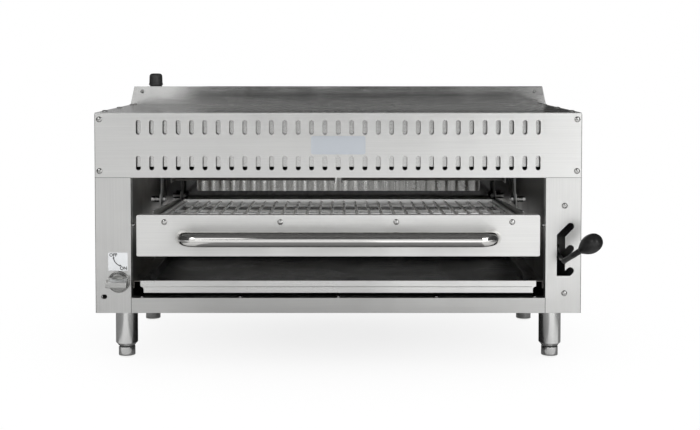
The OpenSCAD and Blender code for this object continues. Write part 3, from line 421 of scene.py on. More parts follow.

# %% [markdown]
# ### Brushed and plain steels
#
# One maker serves every sheet of the melter. `turn` lays the grain along X, along Y or upright, `tone`
# is the steel's colour, `marks` is how much it has been handled and `gloss` is its roughness. Behind
# `shade_behind`, a depth in metres, the pan is painted near-black as painted shade under the rack, and above
# the height `shade_above` the rear liner is painted dark as painted shade. `edge` dims what the sheet mirrors
# at a flat angle.

# %% Brushed steel
def make_sheet_steel(
    name, tone, turn=(0, 0, 0), gloss=0.3, marks=1.0, fineness=900.0, tint=0.0, grain_depth=0.06,
    shade_behind=None, metallic=1.0, shade_above=None, edge=1.0,
):
    material, tree, shader, place = start_finish(name, metallic, gloss, Specular_Tint=grey(edge))
    along = add(tree, "Mapping", Vector=place, Rotation=turn).outputs[0]
    grain = place_group(tree, brushed_grain, Vector=along, Fineness=fineness)
    touched = place_group(tree, handling_marks, Vector=place, Size=7.0, Amount=marks)["Marks"]
    lines = place_group(tree, scratches, Vector=place, Density=24.0, Amount=0.5 * marks)["Lines"]
    dark = [v * 0.93 for v in tone] + [1.0]
    light = [min(1.0, v * 1.04) for v in tone] + [1.0]
    colour = blend_colour(tree, grain["Grain"], dark, light)
    banded = blend_colour(tree, maths(tree, "MULTIPLY", grain["Bands"], 0.3), colour, light)
    worn = blend_colour(tree, maths(tree, "MULTIPLY", touched, 0.25), banded, dark)
    if tint:
        heat = place_group(tree, heat_tint, Vector=place, Spread=4.0, Amount=tint)
        worn = blend_colour(tree, heat["Mask"], worn, heat["Tint"])
    # Painted shade: behind this depth the colour fades to near-black, standing for the shade under the rack.
    if shade_behind is not None:
        depth = add(tree, "SeparateXYZ", Vector=place).outputs["Y"]
        pan_shade = remap(tree, depth, shade_behind, shade_behind + 0.003)
        worn = blend_colour(tree, pan_shade, worn, grey(0.05))
    # Painted shade: above this height the colour fades to dark grey, standing for the shade high in the
    # opening.
    if shade_above is not None:
        height = add(tree, "SeparateXYZ", Vector=place).outputs["Z"]
        shaded = remap(tree, height, shade_above, shade_above + 0.012)
        worn = blend_colour(tree, shaded, worn, grey(0.14))
    tree.links.new(worn, shader.inputs["Base Color"])
    rough = maths(tree, "ADD", gloss, maths(tree, "MULTIPLY", touched, 0.22))
    rough = maths(tree, "ADD", rough, maths(tree, "MULTIPLY", grain["Grain"], 0.07))
    rough = maths(tree, "ADD", rough, maths(tree, "MULTIPLY", lines, 0.2))
    tree.links.new(rough, shader.inputs["Roughness"])
    height = maths(tree, "SUBTRACT", grain["Grain"], lines)
    add_bump(tree, shader, height, grain_depth, 0.0003)
    return material


quarter = math.pi / 2
finishes = {
    "brushed_steel": make_sheet_steel("brushed steel along the front", (0.74, 0.74, 0.73)),
    "sill_steel": make_sheet_steel("brushed steel of the sill", (0.62, 0.62, 0.61)),
    "side_steel": make_sheet_steel(
        "brushed steel of the sides", (0.76, 0.76, 0.75), turn=(0, 0, quarter), metallic=0.85
    ),
    "upright_steel": make_sheet_steel(
        "brushed steel of the posts", (0.69, 0.69, 0.68), turn=(0, quarter, 0)
    ),
    "dull_steel": make_sheet_steel(
        "mill steel", (0.5, 0.5, 0.49), gloss=0.42, marks=1.4, fineness=400.0
    ),
    "top_steel": make_sheet_steel(
        "brushed steel of the top", (0.6, 0.6, 0.59),
        gloss=0.2, edge=0.22, marks=0.4, grain_depth=0.02, metallic=0.9,
    ),
    "flue_steel": make_sheet_steel(
        "warm steel of the flue", (0.86, 0.86, 0.85), gloss=0.08, marks=0.4, tint=0.03
    ),
    # Above 0.258 m the rear liner is painted dark: painted shade in the opening.
    "mirror_steel": make_sheet_steel(
        "rear liner", (0.8, 0.8, 0.79), gloss=0.12, marks=0.6, grain_depth=0.02, shade_above=0.258
    ),
    "baffle_steel": make_sheet_steel("bright baffle", (0.62, 0.62, 0.61), gloss=0.16, marks=0.6),
    # Painted shade: the liner's near-black tone stands for the shade in the opening; its heat tint is its own
    # colour.
    "liner_steel": make_sheet_steel(
        "heat-tinted liner in painted shade", (0.16, 0.155, 0.15), gloss=0.3, marks=1.6, tint=0.12
    ),
    "burner_steel": make_sheet_steel(
        "oxidised burner", (0.15, 0.148, 0.145), gloss=0.5, marks=1.5, tint=0.1
    ),
    "rack_panel_steel": make_sheet_steel(
        "brushed steel of the rack", (0.655, 0.655, 0.645), gloss=0.34, metallic=0.75
    ),
    "rail_steel": make_sheet_steel(
        "rail steel", (0.48, 0.48, 0.47), turn=(0, 0, quarter), gloss=0.36, marks=1.3
    ),
    # Behind its lip the pan is painted near-black: painted shade under the rack.
    "pan_steel": make_sheet_steel(
        "pan steel", (0.74, 0.74, 0.73), gloss=0.24, marks=0.8, shade_behind=-0.2255
    ),
    "frame_steel": make_sheet_steel(
        "rack frame", (0.86, 0.86, 0.85), gloss=0.3, marks=0.8, metallic=0.25
    ),
    "knob_bar_steel": make_sheet_steel("brushed knob bar", (0.54, 0.54, 0.53), gloss=0.24, marks=0.4),
    "lift_steel": make_sheet_steel(
        "lift steel", (0.2, 0.2, 0.2), gloss=0.42, marks=1.2, fineness=500.0
    ),
}
print("sheet finishes:", ", ".join(finishes))

# %% [markdown]
# ### Polished and plated metal
#
# The towel-bar handle, the rods and the reflector are smoother: their colour is bright and even, and
# what shows is gloss, faint scratches and a few dull fingerprints.

# %% Polished metal
def make_polished(name, tone, gloss=0.16, marks=0.8, tint=0.0, scratch=0.6, metallic=1.0):
    material, tree, shader, place = start_finish(name, metallic=metallic, roughness=gloss)
    touched = place_group(tree, handling_marks, Vector=place, Size=14.0, Amount=marks)["Marks"]
    lines = place_group(tree, scratches, Vector=place, Density=60.0, Amount=scratch)["Lines"]
    dark = [v * 0.8 for v in tone] + [1.0]
    colour = blend_colour(tree, maths(tree, "MULTIPLY", touched, 0.5), [*tone, 1.0], dark)
    if tint:
        heat = place_group(tree, heat_tint, Vector=place, Spread=6.0, Amount=tint)
        colour = blend_colour(tree, heat["Mask"], colour, heat["Tint"])
    tree.links.new(colour, shader.inputs["Base Color"])
    rough = maths(tree, "ADD", gloss, maths(tree, "MULTIPLY", touched, 0.25))
    tree.links.new(maths(tree, "ADD", rough, maths(tree, "MULTIPLY", lines, 0.2)), shader.inputs["Roughness"])
    add_bump(tree, shader, maths(tree, "SUBTRACT", 1.0, lines), 0.1, 0.0003)
    return material


finishes.update(
    {
        "polished_steel": make_polished(
            "polished handle steel", (0.86, 0.85, 0.83), gloss=0.08, marks=0.4, scratch=0.25
        ),
        "rod_steel": make_polished(
            "bright rod", (0.92, 0.92, 0.91), gloss=0.26, marks=0.4, tint=0.05, scratch=0.1, metallic=0.15
        ),
        "reflector_steel": make_polished(
            "reflector steel", (0.95, 0.95, 0.93), gloss=0.24, marks=0.4, scratch=0.1
        ),
        "screw_steel": make_polished("bright screw", (0.5, 0.5, 0.49), gloss=0.2),
        "plated_knob": make_polished("plated knob", (0.36, 0.36, 0.35), gloss=0.26, marks=0.3, scratch=0.1),
        "plated_tube": make_polished("plated tube", (0.55, 0.55, 0.53), gloss=0.28, tint=0.1),
        "valve_brass": make_polished("valve brass", (0.72, 0.52, 0.24), gloss=0.3),
        "bush_bronze": make_polished("bush bronze", (0.5, 0.33, 0.16), gloss=0.35),
        "leg_steel": make_polished("polished leg", (0.95, 0.95, 0.94), gloss=0.18, marks=0.5),
        "foot_steel": make_polished("foot steel", (0.95, 0.95, 0.94), gloss=0.16, marks=0.5),
        "badge": make_polished("anodised badge", (0.67, 0.71, 0.76), gloss=0.3, marks=0.5, scratch=0.3),
    }
)
print("polished finishes done:", len(finishes))

# %% [markdown]
# ### Black iron, moulded grip and painted rod
#
# The gas pipe and its cap are cast iron with a sandy skin. The grip is pressed from black phenolic,
# smooth with a soft sheen and faint flow marks. The lever's rod is steel under thin black paint.

# %% Black finishes
def make_black_iron():
    material, tree, shader, place = start_finish("black iron", metallic=0.3, roughness=0.5)
    skin = place_group(tree, cast_skin, Vector=place, Size=420.0)
    tree.links.new(
        blend_colour(tree, skin["Shade"], (0.012, 0.012, 0.013, 1), (0.045, 0.044, 0.043, 1)),
        shader.inputs["Base Color"],
    )
    tree.links.new(remap(tree, skin["Shade"], 0, 1, 0.58, 0.4), shader.inputs["Roughness"])
    add_bump(tree, shader, skin["Height"], 0.35, 0.0006)
    return material


def make_black_grip(name, low=0.005, high=0.011, gloss=0.32, coat=0.1):
    sheen = {"Coat_Weight": coat, "Specular_IOR_Level": 0.3}
    material, tree, shader, place = start_finish(name, roughness=gloss, **sheen)
    flow = add(tree, "TexNoise", Vector=place, Scale=90.0, Detail=3.0, Distortion=1.5).outputs["Fac"]
    touched = place_group(tree, handling_marks, Vector=place, Size=30.0, Amount=1.0)["Marks"]
    tree.links.new(blend_colour(tree, flow, grey(low), grey(high)), shader.inputs["Base Color"])
    rough = maths(tree, "ADD", gloss, maths(tree, "MULTIPLY", touched, 0.3))
    tree.links.new(rough, shader.inputs["Roughness"])
    add_bump(tree, shader, flow, 0.04, 0.0004)
    return material


finishes["black_pipe"] = make_black_iron()
finishes["black_plastic"] = make_black_grip("black phenolic")
finishes["black_rod"] = make_black_grip("black painted rod", 0.012, 0.03, gloss=0.35, coat=0.1)
print("black finishes done")

# %% [markdown]
# ### Burner tiles
#
# Each ceramic tile is pierced by rows of tiny ports. The rows are drawn as a mask: the place is folded
# into square cells 3 mm wide, and the distance from each cell's middle makes a port, painted near-black as
# painted shade inside the hole.

# %% Pierced ceramic
def make_ceramic(pitch=0.003, port=0.3):
    material, tree, shader, place = start_finish("pierced ceramic", roughness=0.85)
    flat = add(tree, "VectorMath", {"operation": "MULTIPLY"}, i0=place, i1=(1, 1, 0)).outputs[0]
    cell = add(tree, "VectorMath", {"operation": "SCALE"}, i0=flat, Scale=1 / pitch).outputs[0]
    cell = add(tree, "VectorMath", {"operation": "FRACTION"}, i0=cell).outputs[0]
    middle = add(tree, "VectorMath", {"operation": "DISTANCE"}, i0=cell, i1=(0.5, 0.5, 0)).outputs["Value"]
    ports = remap(tree, middle, port - 0.06, port + 0.06, 1.0, 0.0)
    clay = add(tree, "TexNoise", Vector=place, Scale=120.0, Detail=4.0).outputs["Fac"]
    body = blend_colour(tree, clay, (0.62, 0.5, 0.36, 1), (0.78, 0.68, 0.53, 1))
    heat = place_group(tree, handling_marks, Vector=place, Size=12.0, Amount=0.8)["Marks"]
    body = blend_colour(tree, heat, body, (0.32, 0.24, 0.17, 1))
    # The ports are painted near-black: painted shade inside the holes.
    tree.links.new(blend_colour(tree, ports, body, (0.03, 0.025, 0.02, 1)), shader.inputs["Base Color"])
    tree.links.new(remap(tree, clay, 0, 1, 0.78, 0.92), shader.inputs["Roughness"])
    add_bump(tree, shader, maths(tree, "SUBTRACT", clay, ports), 0.5, 0.0008)
    return material


finishes["ceramic"] = make_ceramic()
print("ceramic done")

# %% [markdown]
# ### Printed label
#
# The control label is white film, slightly greyed by use, with the faint texture of vinyl. The ink, which
# also paints the shade of the sight hole, and the painted shade of the seams are made by the same function.

# %% Label film
def make_film(name, first, second, gloss=0.45):
    material, tree, shader, place = start_finish(name, roughness=gloss)
    age = add(tree, "TexNoise", Vector=place, Scale=60.0, Detail=3.0).outputs["Fac"]
    tree.links.new(blend_colour(tree, age, first, second), shader.inputs["Base Color"])
    tree.links.new(remap(tree, age, 0.3, 0.7, gloss - 0.07, gloss + 0.07), shader.inputs["Roughness"])
    add_bump(tree, shader, add(tree, "TexNoise", Vector=place, Scale=2500.0).outputs["Fac"], 0.05, 0.0002)
    return material


finishes["label"] = make_film("label film", (0.49, 0.5, 0.51, 1), (0.44, 0.45, 0.46, 1))
# The same ink also lines the sight tube: painted shade of the hole.
ink_and_hole_shade = make_film("label ink", (0.02, 0.02, 0.02, 1), (0.035, 0.035, 0.035, 1), gloss=0.5)
print("all finishes:", len(finishes))

# %% [markdown]
# ## Finish every CAD node
#
# The record says which material slot each node takes its finish from. The sides and posts are brushed
# another way than the front, so those nodes name their own finish.

# %% Give the nodes their finishes
OWN_FINISH = {
    "left_side_panel": "side_steel",
    "right_side_panel": "side_steel",
    "left_post": "upright_steel",
    "right_post": "upright_steel",
    "bottom_rail": "sill_steel",
    "slot_baffle": "baffle_steel",
    "top_panel": "top_steel",
    "flue_riser": "flue_steel",
    "rear_liner": "mirror_steel",
    "rack_frame": "frame_steel",
}
slot_of = {row["node"]: row["material_slot"] for row in frame["record"]["subparts"]}


def finish_of(node):
    return finishes[OWN_FINISH.get(node, slot_of[node])]


for name, thing in nodes.items():
    thing.data.materials.clear()
    thing.data.materials.append(finish_of(name))
print("finished nodes:", len(nodes))

# %% [markdown]
# ## Modelling helpers
#
# Pieces are modelled with Blender's own operators, as by hand. `finish_piece` bakes a piece's place into
# its mesh, gives it a finish and lets it ride on its body.

# %% Piece helpers
def deselect():
    bpy.ops.object.select_all(action="DESELECT")


def pick(thing):
    deselect()
    thing.select_set(True)
    bpy.context.view_layer.objects.active = thing


def apply_modifiers(thing):
    pick(thing)
    for modifier in list(thing.modifiers):
        bpy.ops.object.modifier_apply(modifier=modifier.name)


def finish_piece(thing, name, body, material, replaces=(), smooth=30, flat_faces=False):
    apply_modifiers(thing)
    bpy.ops.object.transform_apply(location=True, rotation=True, scale=True)
    thing.name = name
    thing.data.name = name
    thing.data.materials.clear()
    thing.data.materials.append(material)
    bpy.ops.object.shade_smooth_by_angle(angle=math.radians(smooth))
    if flat_faces:
        weigh = thing.modifiers.new("flat faces", "WEIGHTED_NORMAL")
        weigh.keep_sharp = True
        bpy.ops.object.modifier_apply(modifier=weigh.name)
    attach(thing, body)
    if replaces:
        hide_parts(*replaces)
    deselect()
    return thing


def edit(thing):
    pick(thing)
    bpy.ops.object.mode_set(mode="EDIT")


def leave_edit():
    bpy.ops.object.mode_set(mode="OBJECT")


print("piece helpers ready")

# %% [markdown]
# ### Soft edges on sheet metal
#
# No folded or cut sheet has a razor edge: a small round catches a thin line of light. `soften` copies a
# CAD solid, merges its loose triangles, clears the flat faces and rounds what is left, so the shape
# stays the CAD's own.

# %% Soften a CAD solid
def soften(node, width=0.0004, segments=2, smooth=35):
    thing = bpy.data.objects.new(node, nodes[node].data.copy())
    bpy.context.scene.collection.objects.link(thing)
    edit(thing)
    bpy.ops.mesh.select_all(action="SELECT")
    bpy.ops.mesh.remove_doubles(threshold=1e-6)
    bpy.ops.mesh.dissolve_limited(angle_limit=math.radians(1.0))
    leave_edit()
    bevel = thing.modifiers.new("soft edge", "BEVEL")
    bevel.width = width
    bevel.segments = segments
    bevel.limit_method = "ANGLE"
    bevel.angle_limit = math.radians(32)
    body, finish = body_of[node], finish_of(node)
    return finish_piece(thing, node + "_soft", body, finish, (node,), smooth, flat_faces=True)


body_of = {n: body for body, members in frame["record"]["behaviour"]["bodies"].items() for n in members}
SOFT = {
    "front_panel": 0.0006,
    "left_post": 0.0006,
    "right_post": 0.0006,
    "bottom_rail": 0.0006,
    "top_panel": 0.0005,
    "flue_riser": 0.0003,
    "left_side_panel": 0.0003,
    "right_side_panel": 0.0003,
    "rack_front": 0.0005,
    "drip_pan": 0.0003,
    "rack_frame": 0.0004,
}
softened = {node: soften(node, width) for node, width in SOFT.items()}
for node, thing in softened.items():
    print(node, len(thing.data.polygons), "faces")

# %% [markdown]
# ### Turned pieces
#
# Screws, grips, knobs and caps are turned on a lathe. `turned` starts from a disc and extrudes it step by
# step, giving each step its radius, so a list of heights and radii is the whole profile.

# %% Turned pieces
def turned(origin, direction, profile, sides=48):
    bpy.ops.mesh.primitive_circle_add(vertices=sides, radius=profile[0][1], fill_type="NGON")
    thing = bpy.context.active_object
    edit(thing)
    bpy.ops.mesh.select_all(action="SELECT")
    bpy.ops.transform.translate(value=(0, 0, profile[0][0]))
    for (height, radius), (next_height, next_radius) in zip(profile, profile[1:]):
        bpy.ops.mesh.extrude_region_move(TRANSFORM_OT_translate={"value": (0, 0, next_height - height)})
        ratio = next_radius / radius
        bpy.ops.transform.resize(value=(ratio, ratio, 1), center_override=(0, 0, next_height))
    bpy.ops.mesh.select_all(action="SELECT")
    bpy.ops.mesh.normals_make_consistent(inside=False)
    leave_edit()
    thing.rotation_euler = Vector(direction).to_track_quat("Z", "Y").to_euler()
    thing.location = origin
    return thing


def in_mm(*pairs):
    return [(height / 1000, radius / 1000) for height, radius in pairs]


print("lathe ready")

# %% [markdown]
# ### Screws
#
# One pan head is turned, and a cross is cut in it with a Boolean modifier. Every screw is a copy of it
# with its own mesh. No fitter lines the crosses up, so each is turned by its own angle. `UP` and `FRONT`
# are the two ways that the heads face.

# %% One screw
UP, FRONT = (0, 0, 1), (0, -1, 0)


def make_screw():
    dome = in_mm((0, 5.5), (0.7, 5.5), (1.2, 5.2), (1.8, 4.3), (2.2, 3.1), (2.45, 1.6))
    head = turned((0, 0, 0), UP, dome, 32)
    for angle in (0, quarter):
        bpy.ops.mesh.primitive_cube_add(size=1, location=(0, 0, 0.0027), rotation=(0, 0, angle))
        cutter = bpy.context.active_object
        cutter.scale = (0.0058, 0.0011, 0.003)
        cut = head.modifiers.new("cross", "BOOLEAN")
        cut.operation, cut.object, cut.solver = "DIFFERENCE", cutter, "EXACT"
        apply_modifiers(head)
        bpy.data.objects.remove(cutter)
    return head


def place_screw(pattern, name, place, direction, spin, body, replaces=()):
    screw = bpy.data.objects.new(name, pattern.data.copy())
    bpy.context.scene.collection.objects.link(screw)
    turn = Vector(direction).to_track_quat("Z", "Y").to_matrix() @ Matrix.Rotation(spin, 3, "Z")
    screw.rotation_euler = turn.to_euler()
    screw.location = place
    return finish_piece(screw, name, body, finishes["screw_steel"], replaces, 40)


front_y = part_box("front_panel")[0][1]
top_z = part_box("top_panel")[1][2]
screw_places = [((x, front_y, z), FRONT) for x in (-0.448, 0.448) for z in (0.3705, 0.4675)]
screw_places += [((0.4255, front_y, z), FRONT) for z in (0.1395, 0.305)]
screw_places += [((x, y, top_z), UP) for x in (-0.4495, 0.4495) for y in (-0.17, -0.0295, 0.111)]
rack_screw_x, rack_face_y, rack_screw_z = (-0.327, -0.109, 0.109, 0.327), -0.2285, 0.2743
pattern_screw = make_screw()
for index, (place, direction) in enumerate(screw_places):
    replaced = ("panel_screws",) if index == 0 else ()
    spin = 0.4 + 1.1 * index
    place_screw(pattern_screw, f"panel_screw_{index}", place, direction, spin, "cabinet", replaced)
for index, x in enumerate(rack_screw_x):
    place, spin = (x, rack_face_y, rack_screw_z), 0.7 + 0.8 * index
    place_screw(pattern_screw, f"rack_screw_{index}", place, FRONT, spin, "rack")
bpy.data.objects.remove(pattern_screw)
print("screws:", len(screw_places) + len(rack_screw_x))

# %% [markdown]
# ### Rivets
#
# The sill and the riser are held by small domed rivets, all struck alike.

# %% Rivets
sill_top = 0.1305
rivet_places = [((x, -0.218, sill_top), UP) for x in (-0.3715, -0.18575, 0, 0.18575, 0.3715)]
rivet_places += [((x, 0.128, 0.509), FRONT) for x in (-0.43, 0.43)]
rivet_dome = in_mm((0, 4.2), (0.5, 4.2), (1.2, 3.8), (1.9, 2.9), (2.3, 1.6), (2.4, 0.5))
pattern_rivet = turned((0, 0, 0), UP, rivet_dome, 24)
for index, (place, direction) in enumerate(rivet_places):
    replaced = ("rivets",) if index == 0 else ()
    place_screw(pattern_rivet, f"rivet_{index}", place, direction, 0.3 * index, "cabinet", replaced)
bpy.data.objects.remove(pattern_rivet)
print("rivets:", len(rivet_places))

# %% [markdown]
# ### The lever's grip
#
# A pear-shaped moulding on a short collar. Its axis runs from the bend of the rod up and out to the right.
# The collar and the grip are turned as two pieces, with a fine groove where they meet.

# %% Grip and collar
bend_place = Vector((0.419, -0.2585, 0.2064))
neck_run, neck_in_grip = Vector((42, -52, 43)), 45
grip_axis = neck_run.normalized()
neck_place = bend_place + grip_axis * (neck_run.length - neck_in_grip) / 1000
grip_profile = in_mm(
    (11.0, 6.0), (11.4, 6.8), (12.2, 7.4), (15.0, 8.8), (19.0, 11.1), (24.0, 13.6), (29.0, 15.6),
    (34.0, 16.8), (39.0, 17.2), (44.0, 16.9), (48.5, 16.1), (52.5, 14.7), (56.0, 12.7), (58.9, 9.9),
    (60.8, 6.8), (61.6, 3.4), (61.8, 0.8),
)
grip = turned(neck_place, grip_axis, grip_profile, 64)
black = finishes["black_plastic"]
finish_piece(grip, "lever_grip_pear", "lever_handle", black, ("lever_grip",), 60)
collar_profile = in_mm((-12.0, 4.6), (-12.0, 5.0), (-11.4, 5.4), (9.8, 5.4), (10.4, 5.0), (11.0, 5.0))
collar = turned(neck_place, grip_axis, collar_profile)
finish_piece(collar, "lever_collar", "lever_handle", black, (), 35)
print("grip reaches", [round(v, 4) for v in neck_place + grip_axis * grip_profile[-1][0]])

# %% [markdown]
# ### The gas knob
#
# A plated disc with a stepped rim carries a thick bar that the cook turns. The bar starts as a block whose
# front is narrowed to a wedge. The long edges of its front get a broader bevel, then every edge a fine one.

# %% Bezel and knob disc
knob_place = Vector((-0.413, 0, 0.161))
bezel = turned(
    (knob_place.x, front_y, knob_place.z), FRONT,
    in_mm((0, 20.5), (1.6, 20.5), (2.4, 20.1), (3.0, 19.2), (3.0, 18.2), (1.6, 17.9), (1.6, 4.2)),
)
finish_piece(bezel, "knob_bezel_ring", "cabinet", finishes["plated_knob"], ("knob_bezel",), 40)
disc = turned(
    (knob_place.x, -0.232, knob_place.z), FRONT,
    in_mm((0, 17.5), (4.6, 17.2), (6.2, 16.6), (6.9, 15.6), (7.0, 14.4), (6.7, 13.6), (6.9, 6.0)),
)
finish_piece(disc, "gas_knob_disc", "gas_knob", finishes["plated_knob"], ("gas_knob",), 40)
print("disc and bezel turned")

# %% Knob bar
def make_knob_bar(middle_y=-0.248, front=-0.258):
    bpy.ops.mesh.primitive_cube_add(size=1, location=(knob_place.x, middle_y, knob_place.z))
    bar = bpy.context.active_object
    bar.scale = (0.039, 0.022, 0.021)
    bpy.ops.object.transform_apply(location=True, rotation=True, scale=True)
    edit(bar)
    mesh = bmesh.from_edit_mesh(bar.data)
    for vertex in mesh.verts:
        vertex.select = vertex.co.y < -0.25
    mesh.select_flush_mode()
    bmesh.update_edit_mesh(bar.data)
    bpy.ops.transform.resize(value=(1, 1, 0.5), center_override=knob_place)
    for width, steps, chosen in ((0.0012, 3, "long"), (0.0006, 2, "all")):
        bpy.ops.mesh.select_all(action="DESELECT")
        mesh = bmesh.from_edit_mesh(bar.data)
        for edge in mesh.edges:
            ends = [vertex.co for vertex in edge.verts]
            long = abs(ends[0].x - ends[1].x) > 0.03 and max(end.y for end in ends) < front
            edge.select = long if chosen == "long" else edge.is_manifold and edge.calc_face_angle() > 0.6
        mesh.select_flush_mode()
        bmesh.update_edit_mesh(bar.data)
        bpy.ops.mesh.bevel(offset=width, segments=steps)
    leave_edit()
    finish = finishes["knob_bar_steel"]
    return finish_piece(bar, "gas_knob_bar", "gas_knob", finish, (), 35, True)


knob_bar = make_knob_bar()
print("knob bar:", len(knob_bar.data.polygons), "faces")

# %% [markdown]
# ### The handle and the gas pipe's cap
#
# The towel-bar handle is one bent tube. `tube` draws its centre line as a curve with a round section and
# turns it into a mesh. The cap on the gas pipe is turned: a band at its foot, then a long smooth crown.

# %% Tubes
def corner(middle, radius, first, last, steps=10):
    points = []
    for step in range(steps + 1):
        angle = first + (last - first) * step / steps
        points.append((middle[0] + radius * math.cos(angle), middle[1] + radius * math.sin(angle)))
    return points


def tube(points, radius, sides=8):
    curve = bpy.data.curves.new("centre line", "CURVE")
    curve.dimensions = "3D"
    curve.bevel_depth = radius
    curve.bevel_resolution = sides
    curve.use_fill_caps = True
    line = curve.splines.new("POLY")
    line.points.add(len(points) - 1)
    for point, place in zip(line.points, points):
        point.co = (*place, 1)
    thing = bpy.data.objects.new("tube", curve)
    bpy.context.scene.collection.objects.link(thing)
    pick(thing)
    bpy.ops.object.convert(target="MESH")
    return bpy.context.active_object


def make_handle(bend=0.03, stub_x=0.292, stub_y=-0.2287, run_y=-0.2645, handle_z=0.247, radius=0.01398):
    run_x = stub_x - bend
    left = corner((-run_x, run_y + bend), bend, math.pi, 1.5 * math.pi)
    right = corner((run_x, run_y + bend), bend, 1.5 * math.pi, 2 * math.pi)
    path = [(-stub_x, stub_y), *left, *right, (stub_x, stub_y)]
    handle = tube([(x, y, handle_z) for x, y in path], radius)
    finish = finish_of("rack_handle")
    return finish_piece(handle, "rack_handle_tube", "rack", finish, ("rack_handle",), 50)


handle = make_handle()
print("handle box:", [round(v, 4) for v in handle.dimensions])

# %% Pipe cap
cap_profile = in_mm(
    (0, 13.4), (0, 14.8), (0.8, 15.5), (3.6, 15.5), (4.2, 14.6), (17.5, 14.3), (21.0, 13.9), (23.6, 12.6),
    (25.3, 10.2), (25.95, 6.0),
)
cap = turned((-0.407, 0.17, 0.522), UP, cap_profile)
finish_piece(cap, "inlet_cap_turned", "cabinet", finishes["black_pipe"], ("inlet_cap",), 40)
print("cap turned")

# %% [markdown]
# ### The ribbed reflector
#
# The rear reflector is a corrugated sheet. One wave is a narrow grid whose middle columns are pushed
# forward. An Array modifier repeats it side by side, Subdivision rounds it, and Solidify gives it the
# thickness of the sheet.

# %% Corrugated reflector
def make_reflector(pitch=0.0229, waves=28, depth=0.0024, sheet=0.0008):
    lowest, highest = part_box("rear_reflector")
    height = highest[2] - lowest[2]
    bpy.ops.mesh.primitive_grid_add(x_subdivisions=8, y_subdivisions=6, size=1, rotation=(quarter, 0, 0))
    sheet_piece = bpy.context.active_object
    sheet_piece.scale = (pitch, height, 1)
    sheet_piece.location = (-pitch * waves / 2 + pitch / 2, highest[1] - sheet, (lowest[2] + highest[2]) / 2)
    bpy.ops.object.transform_apply(location=True, rotation=True, scale=True)
    edit(sheet_piece)
    for columns, push in (((2, 3, 4, 5, 6), 0.22), ((3, 4, 5), 0.5), ((4,), 0.28)):
        bpy.ops.mesh.select_all(action="DESELECT")
        mesh = bmesh.from_edit_mesh(sheet_piece.data)
        start = min(vertex.co.x for vertex in mesh.verts)
        for vertex in mesh.verts:
            vertex.select = round((vertex.co.x - start) / pitch * 8) in columns
        mesh.select_flush_mode()
        bmesh.update_edit_mesh(sheet_piece.data)
        bpy.ops.transform.translate(value=(0, -depth * push, 0))
    leave_edit()
    repeat = sheet_piece.modifiers.new("waves", "ARRAY")
    repeat.count, repeat.use_merge_vertices = waves, True
    repeat.merge_threshold = 1e-5
    smooth = sheet_piece.modifiers.new("rounded", "SUBSURF")
    smooth.levels = smooth.render_levels = 1
    thick = sheet_piece.modifiers.new("sheet", "SOLIDIFY")
    thick.thickness, thick.offset = sheet, 0
    return finish_piece(
        sheet_piece, "reflector_waves", "cabinet", finishes["reflector_steel"],
        ("rear_reflector",), 60,
    )


reflector = make_reflector()
print("reflector:", len(reflector.data.polygons), "faces,", [round(v, 4) for v in reflector.dimensions])

# %% [markdown]
# ### The control label
#
# The label says how to turn the knob: OFF at the top, ON at the lower right and a curved line with two
# arrow heads between them. The letters start as text and become thin meshes on the film.

# %% Label lettering
film_y, letter_size = -0.2288, 0.0084


def letter(words, x, z, name):
    bpy.ops.object.text_add(location=(x, film_y - 0.00001, z), rotation=(quarter, 0, 0))
    text = bpy.context.active_object
    text.data.body = words
    text.data.size = letter_size
    text.data.align_x, text.data.align_y = "CENTER", "CENTER"
    text.data.extrude = 0.00004
    text.data.offset = 0.0003
    bpy.ops.object.convert(target="MESH")
    return finish_piece(bpy.context.active_object, name, "cabinet", ink_and_hole_shade, (), 20)


letter("OFF", -0.4232, 0.2118, "label_off")
letter("ON", -0.4042, 0.1868, "label_on")
arc_middle = (-0.4057, 0.2085)
arc_points = corner(arc_middle, 0.0172, 1.03 * math.pi, 1.42 * math.pi, 16)
sweep = tube([(x, film_y - 0.00002, z) for x, z in arc_points], 0.0008, 3)
finish_piece(sweep, "label_arc", "cabinet", ink_and_hole_shade, (), 60)
for name, (x, z), turn in (("off", arc_points[0], 0.1), ("on", arc_points[-1], 2.4)):
    head = turned((x, film_y + 0.00002, z), FRONT, in_mm((0, 2.6), (0.07, 2.5)), 3)
    head.rotation_euler.rotate_axis("Z", turn)
    finish_piece(head, "label_arrow_" + name, "cabinet", ink_and_hole_shade, (), 20)
print("label lettered")

# %% [markdown]
# ### The badge
#
# A bare anodised plate. Its face is inset twice: a thin bright rim stands proud of a field that lies a
# quarter of a millimetre deeper.

# %% Badge with a rim
def make_badge():
    badge = bpy.data.objects.new("badge", nodes["name_plate"].data.copy())
    bpy.context.scene.collection.objects.link(badge)
    edit(badge)
    bpy.ops.mesh.select_all(action="SELECT")
    bpy.ops.mesh.remove_doubles(threshold=1e-6)
    bpy.ops.mesh.dissolve_limited(angle_limit=math.radians(1.0))
    bpy.ops.mesh.select_all(action="DESELECT")
    mesh = bmesh.from_edit_mesh(badge.data)
    for face in mesh.faces:
        face.select = face.normal.y < -0.9
    bmesh.update_edit_mesh(badge.data)
    bpy.ops.mesh.inset(thickness=0.0012, depth=0)
    bpy.ops.mesh.inset(thickness=0.0003, depth=-0.00025)
    leave_edit()
    finish = finishes["badge"]
    return finish_piece(badge, "badge_plate", "cabinet", finish, ("name_plate",), 20, True)


badge = make_badge()
print("badge:", len(badge.data.polygons), "faces")
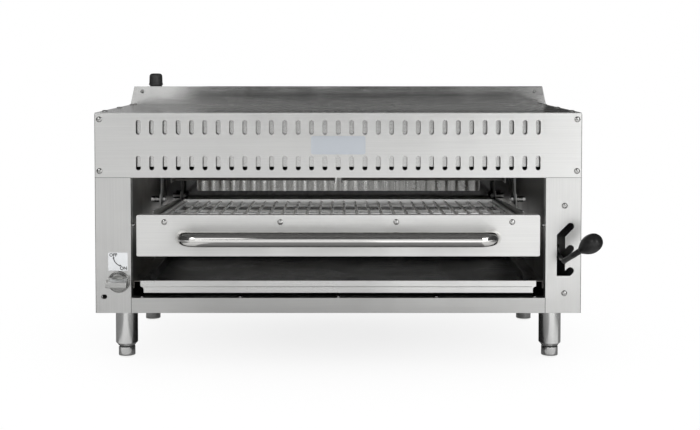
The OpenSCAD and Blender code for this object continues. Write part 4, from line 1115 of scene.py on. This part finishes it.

# %% [markdown]
# ### Seams and small fittings
#
# A thin dark bead along each seam between the header, the posts, the sides and the bottom rail is painted
# shade of the gap. A short black tube lines the sight hole, painted shade of the hole; a stop screw stands in
# each side of the opening; a black ring ends each leg, painted shade of the gap above the foot; and a rolled
# bead stiffens the pan's lip. `seams` gives each seam's radius and its two ends, as distances from the middle
# and heights.

# %% Seams, sight tube, stops, rings and bead
# The seam beads and the leg rings share this near-black finish: painted shade of the gaps.
finishes["seam"] = make_film("painted gap shade", (0.05, 0.05, 0.05, 1), (0.09, 0.09, 0.09, 1), gloss=0.6)
seam_y = front_y - 0.00005
outer_x, opening_x, header_foot, sill_foot = 0.457, 0.39, 0.358, 0.102
seams = {
    "header": (0.0004, (outer_x, header_foot), (opening_x, header_foot)),
    "rail": (0.0005, (opening_x, sill_foot), (opening_x, sill_top)),
    "side": (0.0005, (outer_x - 0.0005, sill_foot + 0.0005), (outer_x - 0.0005, 0.4775)),
}
stop_profile = in_mm((0, 3.6), (3.6, 3.6), (4.6, 3.0), (5.0, 1.8))
# Each seam tube is a dark bead: painted shade in the gap between two sheets.
for side, tag in ((-1, "left"), (1, "right")):
    for name, (radius, *ends) in seams.items():
        seam = tube([(side * x, seam_y, z) for x, z in ends], radius, 2)
        finish_piece(seam, f"seam_{name}_{tag}", "cabinet", finishes["seam"], (), 60)
    stop = turned((side * (opening_x + 0.0002), -0.215, 0.267), (-side, 0, 0), stop_profile, 24)
    finish_piece(stop, "stop_screw_" + tag, "cabinet", finishes["screw_steel"], (), 40)
# The sight tube is lined in black ink: painted shade inside the hole.
tube_shape = in_mm((-20.0, 5.2), (0.7, 5.3), (0.9, 4.8), (0.4, 4.5), (-19.4, 4.4), (-19.6, 0.8))
sight_tube = turned((-0.441, -0.2271, 0.133), FRONT, tube_shape, 40)
sight_tube.scale = (1, 0.76, 1)
finish_piece(sight_tube, "sight_tube", "cabinet", ink_and_hole_shade, (), 40)
leg_places = [(x, y, 0.025) for x in (-0.413, 0.413) for y in (-0.1525, 0.1525)]
# Each black ring fills the gap between leg and foot: painted shade of the gap.
ring_profile = in_mm((-0.2, 16.9), (1.4, 16.9), (1.9, 16.4), (1.9, 12.0))
for index, place in enumerate(leg_places):
    ring = turned(place, (0, 0, -1), ring_profile, 40)
    finish_piece(ring, f"leg_ring_{index}", "cabinet", finishes["seam"], (), 40)
bead = tube([(x, -0.22665, 0.1515) for x in (-0.3655, 0.3655)], 0.0007, 4)
finish_piece(bead, "pan_lip_bead", "drip_pan", finish_of("drip_pan"), (), 60)
print("small fittings done")
